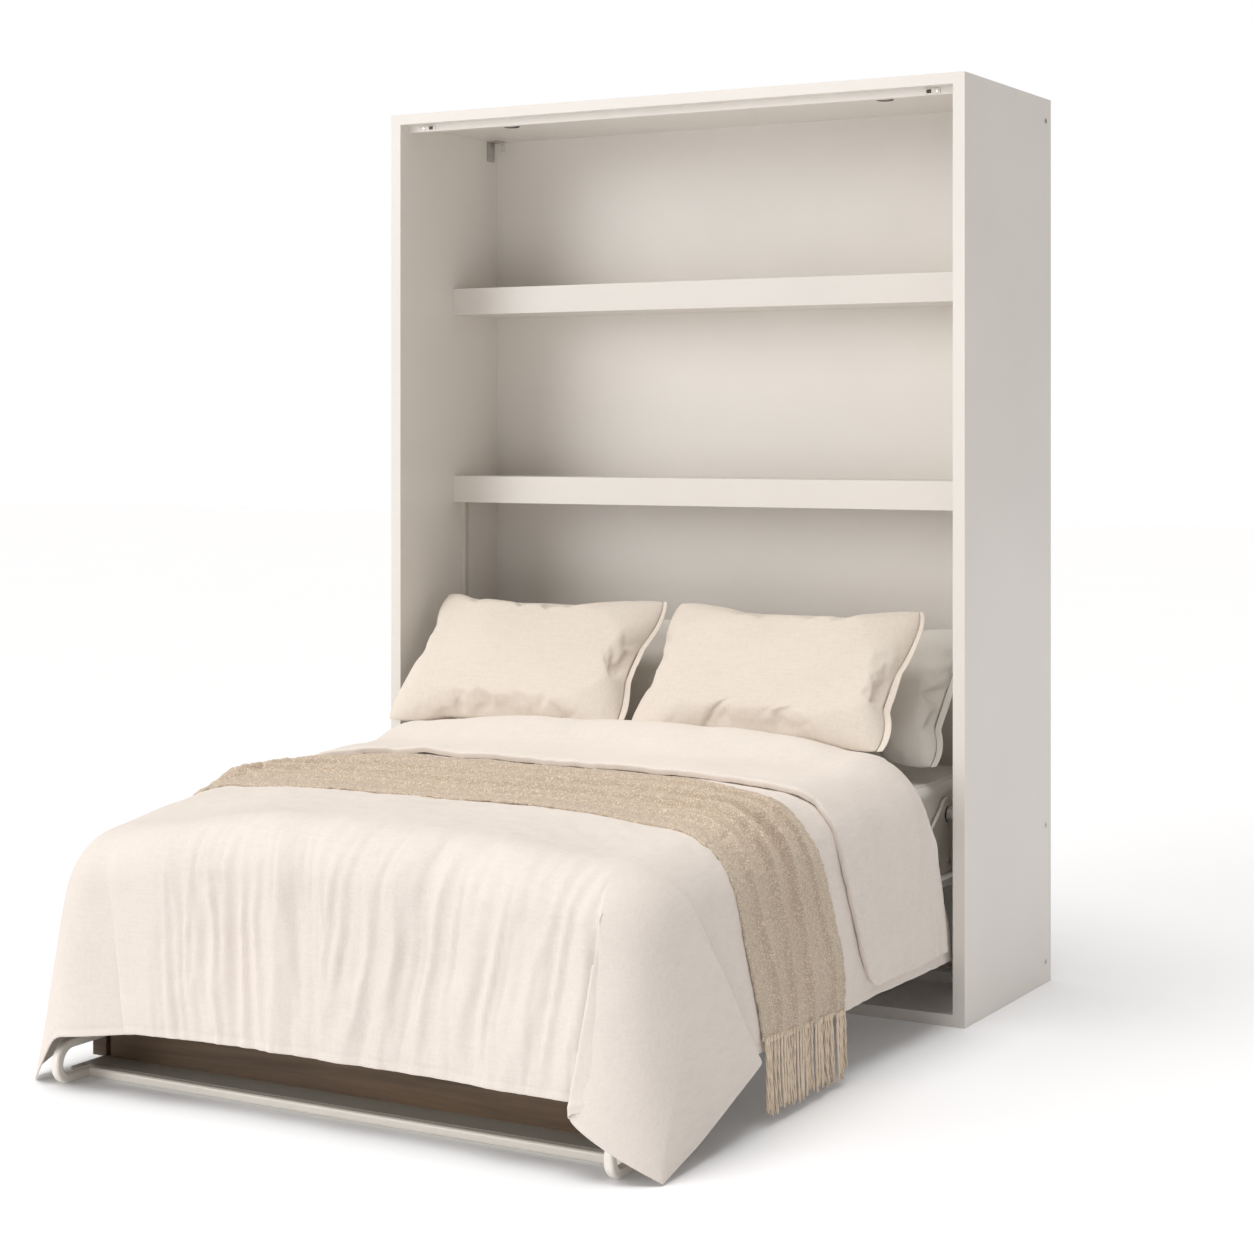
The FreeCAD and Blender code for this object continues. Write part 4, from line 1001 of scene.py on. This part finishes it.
def pillow(name, seed, centre, thick, material):
    """A pillowcase blown up by cloth simulation, with a stitched flange, stood up at centre."""
    start, faces, ids = pillowcase(seed)
    flat = new_object(name, start, faces)
    blown = capped(start, blown_up(flat), MOST_SWELL)
    bpy.data.objects.remove(flat)
    blown = puckered(blown, seed)
    band, band_faces = flange_band(blown, ids, seed)
    points = np.concatenate([blown, band])
    lo, hi = points.min(0), points.max(0)
    points = (points - (lo + hi) / 2) * (np.array([PILLOW_LENGTH, PILLOW_WIDTH, thick]) / (hi - lo))
    tilt = np.array(Matrix.Rotation(math.radians(PILLOW_TILT), 3, "X"))
    turned = points @ tilt.T + np.array(centre)
    made = new_object(name, turned, [tuple(int(i) for i in f) for f in faces + band_faces])
    rounded = made.modifiers.new("round", "SUBSURF")
    rounded.levels = rounded.render_levels = 1
    made.data.materials.append(material)
    return made


SWELL_FRAMES = 20


def blown_up(obj):
    """Fills a pillowcase with pressure: gravity off, as the pillow is stood up afterwards."""
    modifier = obj.modifiers.new("cloth", "CLOTH")
    cloth = modifier.settings
    cloth.quality, cloth.mass = 5, 0.25
    cloth.tension_stiffness = cloth.compression_stiffness = 16
    cloth.shear_stiffness, cloth.bending_stiffness = 6, 0.6
    cloth.air_damping = 4
    cloth.use_pressure, cloth.uniform_pressure_force = True, 6.0
    cloth.shrink_min = cloth.shrink_max = -0.03
    cloth.effector_weights.gravity = 0
    modifier.point_cache.frame_end = SWELL_FRAMES + 1
    scene.frame_start, scene.frame_end = 1, SWELL_FRAMES + 1
    for frame_number in range(1, SWELL_FRAMES + 1):
        scene.frame_set(frame_number)
    evaluated = obj.evaluated_get(bpy.context.evaluated_depsgraph_get())
    mesh = evaluated.to_mesh()
    points = np.zeros(len(mesh.vertices) * 3, np.float32)
    mesh.vertices.foreach_get("co", points)
    evaluated.to_mesh_clear()
    obj.modifiers.remove(modifier)
    scene.frame_set(1)
    return points.reshape(-1, 3).astype(float)


# ---------------------------------------------------------------- the mattress


CORNER_R = 0.07  # of the mattress, in plan
ROUND_R = 0.026  # of its edges, top and bottom
SIDE_BOW = 0.004
PIPING_R = 0.0034
PIPED_RING = 8  # the ring of each rounded edge that the piping follows, from below and from above


def mattress_profile(half_width, height):
    """Each ring's inset from the side and its height, from the underside's middle to the top's."""
    faces = [s * (half_width - CORNER_R) + ROUND_R for s in (1.0, 0.85, 0.7, 0.5, 0.3, 0.12, 0.05)]
    quarter = [math.radians(angle) for angle in np.linspace(0, 90, 6)]
    turn = [(ROUND_R * (1 - math.sin(a)), ROUND_R * (1 - math.cos(a))) for a in quarter]
    profile = [(inset, 0.0) for inset in faces] + turn
    for t in np.linspace(0, 1, 9)[1:-1]:
        profile.append((SIDE_BOW - SIDE_BOW * math.sin(math.pi * t), ROUND_R + (height - 2 * ROUND_R) * t))
    profile += [(inset, height - up) for inset, up in turn[::-1]]
    return profile + [(inset, height) for inset in faces[::-1]]


def mattress_ring(cx, cy, hx, hy, inset, z):
    """Points round a rectangle with round corners, at one height."""
    r = max(0.004, CORNER_R - min(inset, CORNER_R * 0.8))
    ex, ey = hx - inset - r, hy - inset - r
    corners = ((1, 1), (-1, 1), (-1, -1), (1, -1))
    ring = []
    for k, (sx, sy) in enumerate(corners):
        for angle in np.linspace(0, 90, 8):
            a = math.radians(angle + 90 * k)
            ring.append((cx + sx * ex + r * math.cos(a), cy + sy * ey + r * math.sin(a), z))
        nx, ny = corners[(k + 1) % 4]
        a = math.radians(90 * (k + 1))
        p = np.array([cx + sx * ex + r * math.cos(a), cy + sy * ey + r * math.sin(a), z])
        q = np.array([cx + nx * ex + r * math.cos(a), cy + ny * ey + r * math.sin(a), z])
        ring += [tuple(p + (q - p) * t) for t in np.linspace(0, 1, 40)[1:-1]]
    return np.array(ring)


def mattress():
    """A sprung mattress in its fitted sheet: crowned faces, bowed sides and a piped edge top and bottom."""
    lo, hi = BED_LO, BED_HI
    hx, hy = (hi.x - lo.x) / 2, (hi.y - lo.y) / 2
    cx, cy = (hi.x + lo.x) / 2, (hi.y + lo.y) / 2
    height = hi.z - lo.z
    rings = np.array([mattress_ring(cx, cy, hx, hy, inset, lo.z + up)
                      for inset, up in mattress_profile(hx, height)])
    around = np.linspace(0, 60, rings.shape[1], endpoint=False)[None, :]
    side_share = np.exp(-(((rings[..., 2] - (lo.z + hi.z) / 2) / (height * 0.3)) ** 4))
    pull = 0.0022 * lattice_noise(around + 0 * rings[..., 0], rings[..., 2] * 9, 61) * side_share
    away = rings - np.array([cx, cy, 0])
    away[..., 2] = 0
    away /= np.maximum(np.linalg.norm(away, axis=-1, keepdims=True), 1e-9)
    rings = rings - away * np.abs(pull)[..., None]
    y_mm, x_mm = (rings[..., 1] - FRONT) / MM, np.abs(rings[..., 0]) / MM
    give = 0.060 * smooth(-820, -1330, y_mm) * smooth(150, 650, x_mm) + 0.050 * smooth(-1200, -1345, y_mm)
    give = give + 0.02 * smooth(600, 700, x_mm) * smooth(-300, -500, y_mm)
    rings[..., 2] -= give * (rings[..., 2] - lo.z) / height
    n, m = rings.shape[:2]
    faces = [(r * m + i, r * m + (i + 1) % m, (r + 1) * m + (i + 1) % m, (r + 1) * m + i)
             for r in range(n - 1) for i in range(m)]
    faces += [tuple(range(m))[::-1], tuple((n - 1) * m + i for i in range(m))]
    body = new_object("mattress_body", rings.reshape(-1, 3), faces)
    body.data.materials.append(mat["ticking"])
    parts = []
    for index in (PIPED_RING, n - 1 - PIPED_RING):
        line = np.concatenate([rings[index], rings[index][:1]])
        parts.append(tube(line, np.full(len(line), PIPING_R), 8))
    return body, joined("mattress_piping", parts, mat["ticking"])


# ---------------------------------------------------------------- put it together

duvet_obj = duvet()
turndown_obj = turndown()
throw_obj, throw_points = throw()
fringe_obj = fringe(throw_points[-1])
mattress_obj, piping_obj = mattress()


def centre_of(node):
    lo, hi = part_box(node)
    return (lo + hi) / 2


PILLOWS = (  # CAD node, piece, seed, thickness, slot and material
    ("pillow_front_left", "pillow_left_front", 3, 0.135, "pillow_linen"),
    ("pillow_front_right", "pillow_right_front", 7, 0.135, "pillow_linen"),
    ("pillow_back_left", "pillow_left_back", 12, 0.13, "white_cotton"),
    ("pillow_back_right", "pillow_right_back", 15, 0.13, "white_cotton"),
)
CLOTH_KEEP, PILLOW_KEEP = 0.1, 0.35  # a share of its thickness for each piece of bedding, listed in the bedding table

pillows = [
    pillow(piece, seed, centre_of(node), thick, mat[slot]) for node, piece, seed, thick, slot in PILLOWS
]
bedding = [
    (duvet_obj, "duvet", "linen", CLOTH_KEEP),
    (turndown_obj, "duvet_turndown", "linen", CLOTH_KEEP),
    (throw_obj, "throw", "throw_chenille", CLOTH_KEEP),
    (fringe_obj, "throw_fringe", "throw_chenille", CLOTH_KEEP),
]
bedding += [(made, row[0], row[-1], PILLOW_KEEP) for made, row in zip(pillows, PILLOWS)]
for obj, node, slot, keep in bedding:
    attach(obj, "bed")
    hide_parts(node)
    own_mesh(obj)
for obj in (mattress_obj, piping_obj):
    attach(obj, "bed")
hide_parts("mattress")
